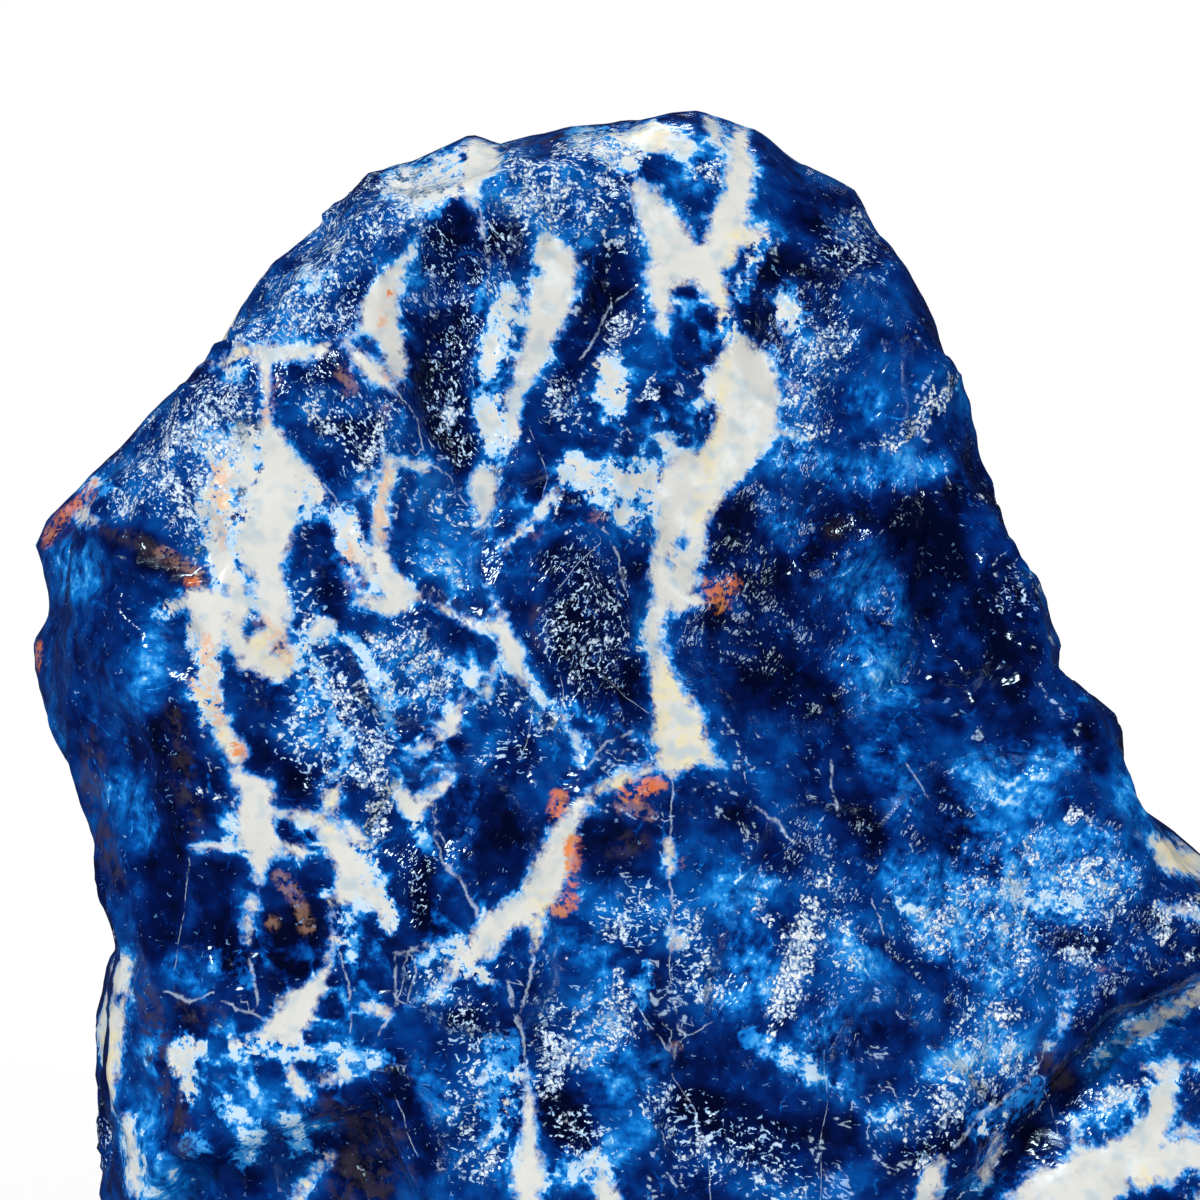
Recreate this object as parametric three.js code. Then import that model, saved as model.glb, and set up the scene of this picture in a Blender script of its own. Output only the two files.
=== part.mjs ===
// A rough lump of sodalite, broken from its vein, that stands on its broad base.
// It is one natural solid: a block bent to the outline of the stone, whose skin is then drawn
// from a flat plate in its heart until it meets the broken faces, the outer wall or the flat
// spot below. Millimetres, +Z up, +X right, +Y away from the viewer, origin in mid-base.

import * as THREE from 'three';
import { mergeVertices } from 'three/addons/utils/BufferGeometryUtils.js';

const stoneWidth = 138;
const stoneDepth = 78;
const stoneHeight = 134;

// The widest outline of the stone, seen from the front, as [x, z] going clockwise from the
// lower left. The last few points run below the base, which cuts them off.
const outline = [
  [-62.2, 25.0], [-62.2, 31.5], [-63.3, 41.4], [-62.2, 48.4], [-61.3, 52.7], [-62.4, 59.1],
  [-63.7, 62.2], [-65.4, 68.9], [-67.4, 72.9], [-69.0, 79.0], [-67.5, 82.3], [-68.5, 90.3],
  [-64.5, 95.9], [-60.7, 99.9], [-57.5, 103.9], [-53.8, 107.0], [-50.1, 110.9], [-47.6, 114.8],
  [-44.4, 118.8], [-40.0, 122.4], [-35.5, 127.6], [-31.3, 128.6], [-25.4, 131.2], [-22.5, 130.4],
  [-15.8, 131.9], [-8.8, 132.7], [-2.9, 133.6], [2.7, 131.8], [7.2, 128.7], [12.9, 126.0],
  [15.3, 121.9], [18.5, 117.6], [20.9, 113.0], [23.3, 107.1], [25.7, 100.2], [27.6, 94.3],
  [31.3, 88.1], [33.8, 81.4], [33.4, 79.1], [38.0, 75.5], [40.1, 71.0], [40.0, 68.5],
  [43.6, 62.8], [47.5, 60.3], [53.7, 54.5], [60.5, 48.2], [66.0, 39.0], [69.0, 30.0],
  [67.0, 20.0], [62.5, 10.5], [57.5, 4.0], [53.0, -3.0], [-48.0, -3.0], [-55.0, 5.0],
  [-60.5, 14.0],
];

// The plainer outline that the wall has away from its widest line.
const plainOutline = [
  [-62, 30], [-61, 54], [-68, 82], [-64, 95], [-48, 113], [-36, 126], [-3, 132], [10, 125],
  [22, 109], [33, 81], [48, 59], [66, 38], [67, 20], [52, -3], [-49, -3], [-60, 14],
];

// The wall is widest along a line that wanders a little to the front and the back. It keeps its
// fine outline for a little way to each side, and comes in by a share of each millimetre in
// front of or behind that line.
const wallMiddle = 3;
const wallWander = 4;
const wanderLength = 42;
const fineWallStart = 2;
const fineWallEnd = 11;
const frontTaper = 0.08;
const backTaper = 0.2;

// The large broken faces: a point on each one, and the way it faces.
const brokenFaces = [
  // front: the main face, the smoother right-hand face, the lower face and the right-hand block
  { at: [-12.5, -27, 75], facing: [-0.03, -1, 0.18] },
  { at: [12.5, -24, 80], facing: [0.32, -1, 0.2] },
  { at: [-5, -34.5, 32], facing: [0.04, -1, 0.06] },
  { at: [45, -26, 38], facing: [0.26, -1, 0.36] },
  // left: the dark side, the two slopes above it and the lower corner
  { at: [-54, -30, 77], facing: [-0.86, -0.46, 0.02] },
  { at: [-48, -23, 101], facing: [-0.5, -0.75, 0.45] },
  { at: [-42, -18, 119], facing: [-0.45, -0.75, 0.5] },
  { at: [-50, -32, 30], facing: [-0.7, -0.7, 0.02] },
  // top and right-hand rims
  { at: [-16, -15, 130.5], facing: [-0.05, -0.5, 0.86] },
  { at: [16.5, -17, 114], facing: [0.7, -0.55, 0.38] },
  { at: [31, -17, 86], facing: [0.76, -0.45, 0.5] },
  { at: [62, -17, 44], facing: [0.78, -0.4, 0.4] },
  // undercut below
  { at: [-5, -35, 11], facing: [0.02, -0.85, -0.5] },
  { at: [58, -16, 8], facing: [0.55, -0.5, -0.62] },
  { at: [-53, -17, 8], facing: [-0.55, -0.5, -0.55] },
  { at: [0, 29, 8], facing: [0.05, 0.8, -0.55] },
  // back: two large breaks, the flanks and the slopes up to the top
  { at: [-14, 24.5, 92], facing: [-0.16, 1, 0.34] },
  { at: [6, 32, 40], facing: [0.14, 1, -0.03] },
  { at: [49, 26, 50], facing: [0.7, 0.7, 0.24] },
  { at: [-52, 24, 62], facing: [-0.62, 0.78, -0.06] },
  { at: [24, 13, 104], facing: [0.55, 0.7, 0.42] },
  { at: [-42, 15, 112], facing: [-0.5, 0.7, 0.5] },
  { at: [-8, 15, 130], facing: [-0.05, 0.6, 0.8] },
];

// Grooves, hollows and ridges: a path of [x, z] points, how far they reach to each side, and
// how deep they go. A ridge has a depth below zero.
const frontRelief = [
  // the fissure across the lower right corner
  {
    path: [[52, 54], [43, 47.7], [37.6, 45.8], [31.7, 40.2], [25.6, 33.5], [17.5, 28.5], [12, 22]],
    reach: 2.6,
    depth: 4.5,
  },
  // the upright trough and the shorter one beside it
  { path: [[-28.5, 121.5], [-28.5, 112], [-27.5, 105], [-25.7, 98]], reach: 4, depth: 3.4 },
  { path: [[-11.3, 119.5], [-11.5, 115]], reach: 3.2, depth: 2.2 },
  // the lip over the dark left side
  {
    path: [[-65.8, 92.2], [-62.3, 91.3], [-57.8, 89.7], [-53.8, 87.3], [-51.1, 85]],
    reach: 1.6,
    depth: 1.8,
  },
  // the notch that parts the rear lobe from the lower left corner
  { path: [[-61.6, 52.7], [-60.3, 49], [-59.5, 43], [-59.7, 34]], reach: 1.6, depth: 2 },
  // the broad hollow of the right-hand face, its creases and its cross ridge
  { path: [[4, 88], [20, 82]], reach: 15, depth: 3.4 },
  { path: [[11.3, 77.2], [19.2, 80.2]], reach: 1.8, depth: 1.6 },
  { path: [[7.7, 90.1], [15.3, 94.3], [19.2, 95.4]], reach: 2, depth: -1.6 },
  { path: [[33.5, 80], [27, 81], [20.5, 85]], reach: 3, depth: 2 },
  { path: [[20.3, 95], [22, 89]], reach: 3.2, depth: 1.8 },
  // rounded knobs between the veins of the main face
  { path: [[-13.5, 87], [-11.5, 81]], reach: 4.5, depth: -1.8 },
  { path: [[-29, 63], [-26, 60]], reach: 5, depth: -1.4 },
  { path: [[-43, 94], [-44, 88]], reach: 5, depth: -1.2 },
  // upright flutes low on the front
  { path: [[-4, 50], [-3, 22]], reach: 3.2, depth: 1.2 },
  { path: [[4.5, 55], [7, 30]], reach: 3.5, depth: -1.2 },
];
const backRelief = [
  { path: [[-50, 44], [-30, 50], [-8, 66], [6, 70], [26, 66]], reach: 3.5, depth: 3 },
  { path: [[10, 112], [4, 96], [6, 84]], reach: 4, depth: 2.4 },
  { path: [[-34, 108], [-26, 92]], reach: 9, depth: 3 },
  { path: [[22, 30], [34, 22]], reach: 8, depth: 2.6 },
  { path: [[-32, 26], [-18, 20]], reach: 9, depth: -2 },
];

// Stretches that broke off deeper, as [x, z] areas with the drop at their edge.
const frontSunken = [
  {
    area: [
      [-33.6, 42.2], [-33, 38.2], [-30.3, 34.2], [-28.2, 28.8], [-28.5, 19], [-34, 10],
      [-54, 10], [-57, 27], [-52, 36], [-42, 39],
    ],
    drop: 4.2,
  },
];
const backSunken = [
  { area: [[-60, 96], [-30, 84], [-14, 92], [-10, 118], [-20, 140], [-70, 130]], drop: 3.5 },
  { area: [[12, 52], [30, 58], [60, 48], [66, 8], [30, 4], [16, 20]], drop: 4 },
];
const dropWidth = 2;

// The relief of the front and the back dies out towards the outer wall, which has only scoops,
// and everything dies out towards its widest line.
const reliefStart = 2;
const reliefEnd = 8;
const middleStart = 0.5;
const middleEnd = 6;

// The hackly break: shallow scoops side by side, with sharp ridges between them.
const scoops = [
  { size: 15, depth: 2.6 },
  { size: 7, depth: 0.8 },
];

const faceRounding = 1.6;
const wallRounding = 3;
const baseRounding = 1;

// Smooth joining of two surfaces: past the rounding, the outer one is left as it is.
function smoothMax(first, second, rounding) {
  const overlap = Math.max(rounding - Math.abs(first - second), 0) / rounding;
  return Math.max(first, second) + (overlap * overlap * rounding) / 4;
}

function fade(start, end, value) {
  const share = THREE.MathUtils.clamp((value - start) / (end - start), 0, 1);
  return share * share * (3 - 2 * share);
}

function distanceToSegment(x, z, [x0, z0], [x1, z1]) {
  const alongX = x1 - x0;
  const alongZ = z1 - z0;
  const share = ((x - x0) * alongX + (z - z0) * alongZ) / (alongX * alongX + alongZ * alongZ);
  const held = THREE.MathUtils.clamp(share, 0, 1);
  return Math.hypot(x - x0 - held * alongX, z - z0 - held * alongZ);
}

function distanceToPath(x, z, path) {
  let nearest = Infinity;
  for (let i = 1; i < path.length; i += 1) {
    nearest = Math.min(nearest, distanceToSegment(x, z, path[i - 1], path[i]));
  }
  return nearest;
}

// Distance to the edge of a closed area, below zero inside it.
function distanceToArea(x, z, area) {
  let nearest = Infinity;
  let inside = false;
  for (let i = 0; i < area.length; i += 1) {
    const from = area[i];
    const to = area[(i + 1) % area.length];
    nearest = Math.min(nearest, distanceToSegment(x, z, from, to));
    const crosses = (from[1] > z) !== (to[1] > z);
    if (crosses && x < from[0] + ((z - from[1]) / (to[1] - from[1])) * (to[0] - from[0])) {
      inside = !inside;
    }
  }
  return inside ? -nearest : nearest;
}

const facePlanes = brokenFaces.map(({ at, facing }) => {
  const normal = new THREE.Vector3(...facing).normalize();
  return new THREE.Plane(normal, -normal.dot(new THREE.Vector3(...at)));
});

// How far a point lies behind the widest line of the wall.
function behindWidest({ x, y, z }) {
  const turn = (2 * Math.PI) / wanderLength;
  return y - wallMiddle - wallWander * Math.sin(turn * z + Math.sin(turn * x));
}

// Distance to the outer wall, below zero inside it.
function distanceToWall(point) {
  const behind = behindWidest(point);
  const bent = THREE.MathUtils.lerp(
    distanceToArea(point.x, point.z, outline),
    distanceToArea(point.x, point.z, plainOutline),
    fade(fineWallStart, fineWallEnd, Math.abs(behind)));
  return bent + (behind < 0 ? frontTaper : backTaper) * Math.abs(behind);
}

// The stone before its relief: below zero inside, zero on its skin.
function plainStone(point) {
  let faces = -Infinity;
  for (const plane of facePlanes) {
    faces = smoothMax(faces, plane.distanceToPoint(point), faceRounding);
  }
  return smoothMax(faces, distanceToWall(point), wallRounding);
}

const hashTurns = [[127.1, 311.7, 74.7], [269.5, 183.3, 246.1], [113.5, 271.9, 124.6]];
const hashStretch = 43758.5453;

// A fixed place from 0 to 1 on each axis for each cell of an endless cubic lattice.
function cellPlace(i, j, k) {
  return hashTurns.map(([turnI, turnJ, turnK]) => {
    const turned = Math.sin(i * turnI + j * turnJ + k * turnK) * hashStretch;
    return turned - Math.floor(turned);
  });
}

// Squared distance, in cells, from a point to the nearest of the places in the cells round it.
function scoopValue(x, y, z) {
  const cell = [Math.floor(x), Math.floor(y), Math.floor(z)];
  let nearest = Infinity;
  for (let i = cell[0] - 1; i <= cell[0] + 1; i += 1) {
    for (let j = cell[1] - 1; j <= cell[1] + 1; j += 1) {
      for (let k = cell[2] - 1; k <= cell[2] + 1; k += 1) {
        const place = cellPlace(i, j, k);
        const gap = (i + place[0] - x) ** 2 + (j + place[1] - y) ** 2 + (k + place[2] - z) ** 2;
        nearest = Math.min(nearest, gap);
      }
    }
  }
  return nearest;
}

const middleScoop = 0.35;

// How far the skin lies below the plain stone at a point of it.
function reliefDepth(point) {
  const { x, y, z } = point;
  const behind = behindWidest(point);
  const [grooves, sunken] = behind < 0 ? [frontRelief, frontSunken] : [backRelief, backSunken];
  const hackly = fade(middleStart, middleEnd, Math.abs(behind));
  const facing = hackly * fade(reliefStart, reliefEnd, -distanceToWall(point));
  let depth = 0;
  for (const groove of grooves) {
    const distance = distanceToPath(x, z, groove.path) / groove.reach;
    depth += facing * groove.depth * Math.exp(-distance * distance);
  }
  for (const { area, drop } of sunken) {
    depth += facing * drop * fade(dropWidth, -dropWidth, distanceToArea(x, z, area));
  }
  for (const scoop of scoops) {
    const value = scoopValue(x / scoop.size, y / scoop.size, z / scoop.size);
    depth += hackly * scoop.depth * (middleScoop - value);
  }
  return depth;
}

// The point between a start inside and an end outside where the skin lies, by halving.
const halvings = 24;

function findSkin(start, end, depth) {
  const inner = start.clone();
  const outer = end.clone();
  const middle = new THREE.Vector3();
  for (let i = 0; i < halvings; i += 1) {
    middle.lerpVectors(inner, outer, 0.5);
    const field = smoothMax(plainStone(middle) + depth, -middle.z, baseRounding);
    (field < 0 ? inner : outer).copy(middle);
  }
  return inner;
}

const widthSteps = 30;
const depthSteps = 16;
const heightSteps = 28;
const plateMiddle = new THREE.Vector3(-3, 2, 60);
const plateShare = 0.72;
const overshoot = 1.5;
const flatLimit = 0.001;

// Distance from the middle of the plate to the outline along a direction in the front view.
function outlineRadius(directionX, directionZ) {
  let radius = 0;
  for (let i = 0; i < outline.length; i += 1) {
    const [x0, z0] = outline[i];
    const [x1, z1] = outline[(i + 1) % outline.length];
    const [fromX, fromZ] = [x0 - plateMiddle.x, z0 - plateMiddle.z];
    const [edgeX, edgeZ] = [x1 - x0, z1 - z0];
    const cross = directionX * edgeZ - directionZ * edgeX;
    const along = (fromX * edgeZ - fromZ * edgeX) / cross;
    const share = (fromX * directionZ - fromZ * directionX) / cross;
    if (along > 0 && share >= 0 && share <= 1) {
      radius = Math.max(radius, along);
    }
  }
  return radius;
}

// Bends a point of the block, so that its four sides follow the outline of the stone.
function bendToOutline(corner) {
  const reach = Math.max(Math.abs(corner.x) / (stoneWidth / 2), Math.abs(corner.z) / (stoneHeight / 2));
  const length = Math.hypot(corner.x, corner.z);
  if (length > 0) {
    const radius = reach * outlineRadius(corner.x / length, corner.z / length);
    corner.x *= radius / length;
    corner.z *= radius / length;
  }
  return corner;
}

function makeStoneGeometry() {
  const block = new THREE.BoxGeometry(
    stoneWidth, stoneDepth, stoneHeight, widthSteps, depthSteps, heightSteps);
  block.deleteAttribute('normal');
  block.deleteAttribute('uv');
  const geometry = mergeVertices(block);
  const position = geometry.attributes.position;
  for (let i = 0; i < position.count; i += 1) {
    const end = bendToOutline(new THREE.Vector3().fromBufferAttribute(position, i));
    const start = new THREE.Vector3(end.x * plateShare, 0, end.z * plateShare).add(plateMiddle);
    end.add(plateMiddle).sub(start).multiplyScalar(overshoot).add(start);
    const onPlainStone = findSkin(start, end, 0);
    const skin = findSkin(start, end, reliefDepth(onPlainStone));
    position.setXYZ(i, skin.x, skin.y, Math.abs(skin.z) < flatLimit ? 0 : skin.z);
  }
  geometry.computeVertexNormals();
  return geometry;
}

const stoneFinish = new THREE.MeshStandardMaterial({
  color: 0x16346f, roughness: 0.3, metalness: 0,
});

const roughSodalite = new THREE.Mesh(makeStoneGeometry(), stoneFinish);
roughSodalite.name = 'rough_sodalite';

const part = new THREE.Group();
part.add(roughSodalite);

export default part;
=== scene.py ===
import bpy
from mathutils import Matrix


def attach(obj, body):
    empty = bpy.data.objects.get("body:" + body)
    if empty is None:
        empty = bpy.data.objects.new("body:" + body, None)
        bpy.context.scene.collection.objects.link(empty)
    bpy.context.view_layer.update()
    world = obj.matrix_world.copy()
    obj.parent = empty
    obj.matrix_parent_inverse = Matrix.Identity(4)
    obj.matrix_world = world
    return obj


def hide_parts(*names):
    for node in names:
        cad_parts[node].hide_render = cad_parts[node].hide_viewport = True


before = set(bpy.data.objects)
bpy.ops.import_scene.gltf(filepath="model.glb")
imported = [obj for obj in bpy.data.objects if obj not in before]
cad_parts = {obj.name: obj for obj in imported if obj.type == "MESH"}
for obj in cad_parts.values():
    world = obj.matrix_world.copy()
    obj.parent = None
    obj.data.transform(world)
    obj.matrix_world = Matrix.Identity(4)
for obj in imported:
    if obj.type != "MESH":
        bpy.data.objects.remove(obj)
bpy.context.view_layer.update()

import math

import bpy
import numpy as np
from mathutils import Vector

# --- The shape of the lump ---------------------------------------------------------------------
# One block of sodalite, broken out of its vein: a broad main face to the front, a smoother one
# on the right, a dark left side, a rough back, and a flat broken foot that it stands on.
# Every break is hackly, so the skin is large faces, grooves and drops, with scoops over them.

MM = 0.001

# widest outline seen from the front, [x, z] in mm, clockwise from the lower left
outline = np.array([
    [-63.2, 25.0], [-61.9, 31.5], [-61.7, 36.5], [-63.7, 42.4], [-62.8, 47.4], [-60.3, 52.7],
    [-60.8, 57.1], [-62.3, 61.4], [-64.3, 67.9], [-67.0, 72.9], [-69.4, 78.0], [-69.5, 80.8],
    [-67.8, 83.3], [-68.2, 86.3], [-69.4, 90.3], [-68.2, 93.0], [-65.0, 95.9], [-60.9, 99.9],
    [-57.4, 103.9], [-53.8, 107.0], [-50.1, 110.9],
    [-47.6, 114.8], [-44.4, 118.8], [-40.0, 122.4], [-35.5, 127.6], [-31.3, 128.6],
    [-25.4, 131.2], [-22.5, 130.4], [-15.8, 131.9], [-8.8, 132.7], [-2.9, 133.6], [2.7, 131.8],
    [7.2, 128.7], [12.9, 125.8], [14.8, 121.9], [18.3, 117.6], [20.5, 113.0], [21.8, 107.1],
    [24.0, 100.2], [26.0, 93.3], [27.0, 90.0], [29.9, 87.3], [32.3, 82.4], [32.1, 80.0],
    [31.4, 78.8], [36.0, 75.9], [39.3, 72.9], [39.8, 69.4], [38.3, 67.6], [42.3, 63.8],
    [47.1, 60.1], [53.4, 54.5], [60.5, 48.2],
    [66.0, 39.0], [69.0, 30.0], [67.0, 20.0], [62.5, 10.5], [57.5, 4.0], [53.0, -3.0],
    [-48.0, -3.0], [-55.0, 5.0], [-60.5, 14.0],
])

# plainer outline away from the widest line
plain_outline = np.array([
    [-62, 30], [-61.3, 48], [-59.9, 54], [-62.3, 63], [-63.4, 68], [-68, 82], [-64, 95],
    [-48, 113], [-36, 126], [-3, 132], [10, 125], [21.4, 109], [26.2, 95], [31.2, 81],
    [34.9, 77], [40, 69], [48, 59], [66, 38], [67, 20], [52, -3], [-49, -3], [-60, 14],
], dtype=float)

wall_middle, wall_wander, wander_length = 3, 4, 42
fine_wall_start, fine_wall_end = 2, 11
front_taper, back_taper = 0.08, 0.2

# a point on each large broken face, and the way it faces
broken_faces = np.array([
    # front
    [[-12.5, -27, 75], [-0.03, -1, 0.18]],
    [[12.5, -24, 80], [0.32, -1, 0.2]],
    [[-5, -34.5, 32], [0.04, -1, 0.06]],
    [[45, -26, 38], [0.26, -1, 0.36]],
    # left
    [[-54, -30, 77], [-0.86, -0.46, 0.02]],
    [[-48, -23, 101], [-0.5, -0.75, 0.45]],
    [[-42, -18, 119], [-0.45, -0.75, 0.5]],
    [[-50, -32, 30], [-0.7, -0.7, 0.02]],
    # top and right-hand rims
    [[-16, -15, 130.5], [-0.05, -0.5, 0.86]],
    [[16.5, -17, 114], [0.7, -0.55, 0.38]],
    [[31, -17, 86], [0.76, -0.45, 0.5]],
    [[62, -17, 44], [0.78, -0.4, 0.4]],
    # undercut below
    [[-5, -35, 11], [0.02, -0.85, -0.5]],
    [[58, -16, 8], [0.55, -0.5, -0.62]],
    [[-53, -17, 8], [-0.55, -0.5, -0.55]],
    [[0, 29, 8], [0.05, 0.8, -0.55]],
    # back
    [[-14, 24.5, 92], [-0.16, 1, 0.34]],
    [[6, 32, 40], [0.14, 1, -0.03]],
    [[49, 26, 50], [0.7, 0.7, 0.24]],
    [[-52, 24, 62], [-0.62, 0.78, -0.06]],
    [[24, 13, 104], [0.55, 0.7, 0.42]],
    [[-42, 15, 112], [-0.5, 0.7, 0.5]],
    [[-8, 15, 130], [-0.05, 0.6, 0.8]],
], dtype=float)
face_points = broken_faces[:, 0]
face_normals = broken_faces[:, 1] / np.linalg.norm(broken_faces[:, 1], axis=1, keepdims=True)

# grooves, hollows and ridges: path of [x, z], reach to each side, depth (a ridge is below zero)
front_relief = [
    ([[52, 54], [43, 47.7], [37.6, 45.8], [31.7, 40.2], [25.6, 33.5], [17.5, 28.5], [12, 22]],
     2.6, 4.5),
    ([[-28.5, 121.5], [-28.5, 112], [-27.5, 105], [-25.7, 98]], 4, 3.4),
    ([[-11.3, 119.5], [-11.5, 115]], 3.2, 2.2),
    ([[-65.8, 92.2], [-62.3, 91.3], [-57.8, 89.7], [-53.8, 87.3], [-51.1, 85]], 1.6, 1.8),
    ([[-61.6, 52.7], [-60.3, 49], [-59.5, 43], [-59.7, 34]], 1.6, 2),
    ([[-61, 71], [-57, 62], [-57, 52]], 6, 3.2),
    ([[4, 88], [20, 82]], 15, 3.4),
    ([[11.3, 77.2], [19.2, 80.2]], 1.8, 1.6),
    ([[7.7, 90.1], [15.3, 94.3], [19.2, 95.4]], 2, -1.6),
    ([[33.5, 80], [27, 81], [20.5, 85]], 3, 2),
    ([[20.3, 95], [22, 89]], 3.2, 1.8),
    ([[-13.5, 87], [-11.5, 81]], 4.5, -1.8),
    ([[-29, 63], [-26, 60]], 5, -1.4),
    ([[-43, 94], [-44, 88]], 5, -1.2),
    ([[-4, 50], [-3, 22]], 3.2, 1.2),
    ([[4.5, 55], [7, 30]], 3.5, -1.2),
]
back_relief = [
    ([[-50, 44], [-30, 50], [-8, 66], [6, 70], [26, 66]], 3.5, 3),
    ([[10, 112], [4, 96], [6, 84]], 4, 2.4),
    ([[-34, 108], [-26, 92]], 9, 3),
    ([[22, 30], [34, 22]], 8, 2.6),
    ([[-32, 26], [-18, 20]], 9, -2),
]

# stretches that broke off deeper: [x, z] area, drop at its edge
front_sunken = [
    ([[-33.6, 42.2], [-33, 38.2], [-30.3, 34.2], [-28.2, 28.8], [-28.5, 19], [-34, 10],
      [-54, 10], [-57, 27], [-52, 36], [-42, 39]], 4.2),
]
back_sunken = [
    ([[-60, 96], [-30, 84], [-14, 92], [-10, 118], [-20, 140], [-70, 130]], 3.5),
    ([[12, 52], [30, 58], [60, 48], [66, 8], [30, 4], [16, 20]], 4),
]
drop_width = 2
relief_start, relief_end = 2, 8
middle_start, middle_end = 0.5, 6

# scoops of the hackly break: size of a cell, depth
scoops = [(15, 2.6), (7, 1.3)]
middle_scoop = 0.35

face_rounding, wall_rounding, base_rounding = 1.6, 3, 1

block_size = np.array([138.0, 78.0, 134.0])
block_steps = np.array([180, 52, 170])
plate_middle = np.array([-3.0, 2.0, 60.0])
plate_share, overshoot, halvings = 0.72, 1.5, 17
nearly_nothing, foot_snap = 1e-9, 0.02


def fade(start, end, value):
    """Zero before start and one past end, with a smooth cubic between the two."""
    share = np.clip((value - start) / (end - start), 0, 1)
    return share * share * (3 - 2 * share)


def smooth_max(first, second, rounding):
    """The larger of two values. Where they differ by less than the rounding, a parabola that
    fills the corner between them is added."""
    overlap = np.clip(rounding - np.abs(first - second), 0, None) / rounding
    return np.maximum(first, second) + overlap * overlap * rounding / 4


def segment_distance(x, z, start, end):
    """Distance from points to a straight segment: the foot of the perpendicular is held
    between the two ends."""
    along = end - start
    share = ((x - start[0]) * along[0] + (z - start[1]) * along[1]) / (along @ along)
    held = np.clip(share, 0, 1)
    return np.hypot(x - start[0] - held * along[0], z - start[1] - held * along[1])


def path_distance(x, z, path):
    """Smallest distance from points to the segments of an open path."""
    points = np.array(path, dtype=float)
    nearest = np.full_like(x, np.inf)
    for start, end in zip(points[:-1], points[1:]):
        nearest = np.minimum(nearest, segment_distance(x, z, start, end))
    return nearest


def area_distance(x, z, area):
    """Distance from points to the edge of a closed area, below zero inside it, where a line
    to the right crosses the edge an odd number of times."""
    points = np.array(area, dtype=float)
    nearest = np.full_like(x, np.inf)
    inside = np.zeros(x.shape, dtype=bool)
    for start, end in zip(points, np.roll(points, -1, axis=0)):
        nearest = np.minimum(nearest, segment_distance(x, z, start, end))
        if start[1] != end[1]:
            crossing_x = start[0] + (z - start[1]) / (end[1] - start[1]) * (end[0] - start[0])
            inside ^= ((start[1] > z) != (end[1] > z)) & (x < crossing_x)
    return np.where(inside, -nearest, nearest)


def behind_widest(points):
    """How far points lie behind the widest line of the wall, which sways from front to back
    as a sine of the height."""
    turn = 2 * math.pi / wander_length
    sway = np.sin(turn * points[:, 2] + np.sin(turn * points[:, 0]))
    return points[:, 1] - wall_middle - wall_wander * sway


def wall_distance(points):
    """Distance to the outer wall: the fine outline near the widest line, the plain one away
    from it, and drawn in by the taper."""
    behind = behind_widest(points)
    fine = area_distance(points[:, 0], points[:, 2], outline)
    plain = area_distance(points[:, 0], points[:, 2], plain_outline)
    bent = fine + (plain - fine) * fade(fine_wall_start, fine_wall_end, np.abs(behind))
    return bent + np.where(behind < 0, front_taper, back_taper) * np.abs(behind)


def plain_stone(points):
    """The stone before its relief, below zero inside: the smooth maximum of the distances to
    every broken face and to the outer wall."""
    faces = np.full(len(points), -np.inf)
    for point, normal in zip(face_points, face_normals):
        faces = smooth_max(faces, (points - point) @ normal, face_rounding)
    return smooth_max(faces, wall_distance(points), wall_rounding)


hash_turns = np.array([[127.1, 311.7, 74.7], [269.5, 183.3, 246.1], [113.5, 271.9, 124.6]])
hash_stretch = 43758.5453
octave_shift = 19.7


def nearest_places(points):
    """Squared distances, in cells of a cubic lattice, to the nearest and the second nearest of
    the places that each cell holds, which the fraction of a stretched sine puts at random."""
    cell = np.floor(points)
    nearest, second = np.full((2, len(points)), np.inf)
    for step in np.ndindex(3, 3, 3):
        neighbour = cell + np.array(step) - 1
        turned = np.sin(neighbour @ hash_turns.T) * hash_stretch
        place = neighbour + turned - np.floor(turned)
        gap = ((place - points) ** 2).sum(axis=1)
        second = np.minimum(second, np.maximum(nearest, gap))
        nearest = np.minimum(nearest, gap)
    return nearest, second


def scoop_value(points):
    """Squared distance to the nearest place, which is deepest on the walls between scoops."""
    return nearest_places(points)[0]


def lump_value(points):
    """Fixed values from -1 to 1 at the corners of a cubic lattice, the fractions of stretched
    sines, blended across each cell with smooth cubic weights."""
    corner = np.floor(points)
    weights = fade(0, 1, points - corner)
    blended = np.zeros(len(points))
    for step in np.ndindex(2, 2, 2):
        turned = np.sin((corner + step) @ hash_turns[0]) * hash_stretch
        share = np.prod(np.where(step, weights, 1 - weights), axis=1)
        blended += share * (2 * (turned - np.floor(turned)) - 1)
    return blended


def lump_sum(points, size, octaves):
    """Lumps of one size plus lumps of half the size at half the height, and so on, each set
    shifted so that no two line up."""
    total = np.zeros(len(points))
    for octave in range(octaves):
        total += lump_value(points * (2 ** octave / size) + octave_shift * octave) / 2 ** octave
    return total


def relief_depth(points):
    """How far the skin lies below the plain stone: bell-shaped grooves and ridges, drops at
    the edges of the sunken areas, and scoops everywhere but on the widest line."""
    x, z = points[:, 0], points[:, 2]
    behind = behind_widest(points)
    hackly = fade(middle_start, middle_end, np.abs(behind))
    facing = hackly * fade(relief_start, relief_end, -wall_distance(points))
    depth = np.zeros(len(points))
    for side, grooves, sunken in (
            (behind < 0, front_relief, front_sunken), (behind >= 0, back_relief, back_sunken)):
        for path, reach, groove_depth in grooves:
            bell = np.exp(-(path_distance(x, z, path) / reach) ** 2)
            depth += side * facing * groove_depth * bell
        for area, drop in sunken:
            inside = fade(drop_width, -drop_width, area_distance(x, z, area))
            depth += side * facing * drop * inside
    for size, scoop_depth in scoops:
        depth += hackly * scoop_depth * (middle_scoop - scoop_value(points / size))
    return depth


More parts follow.
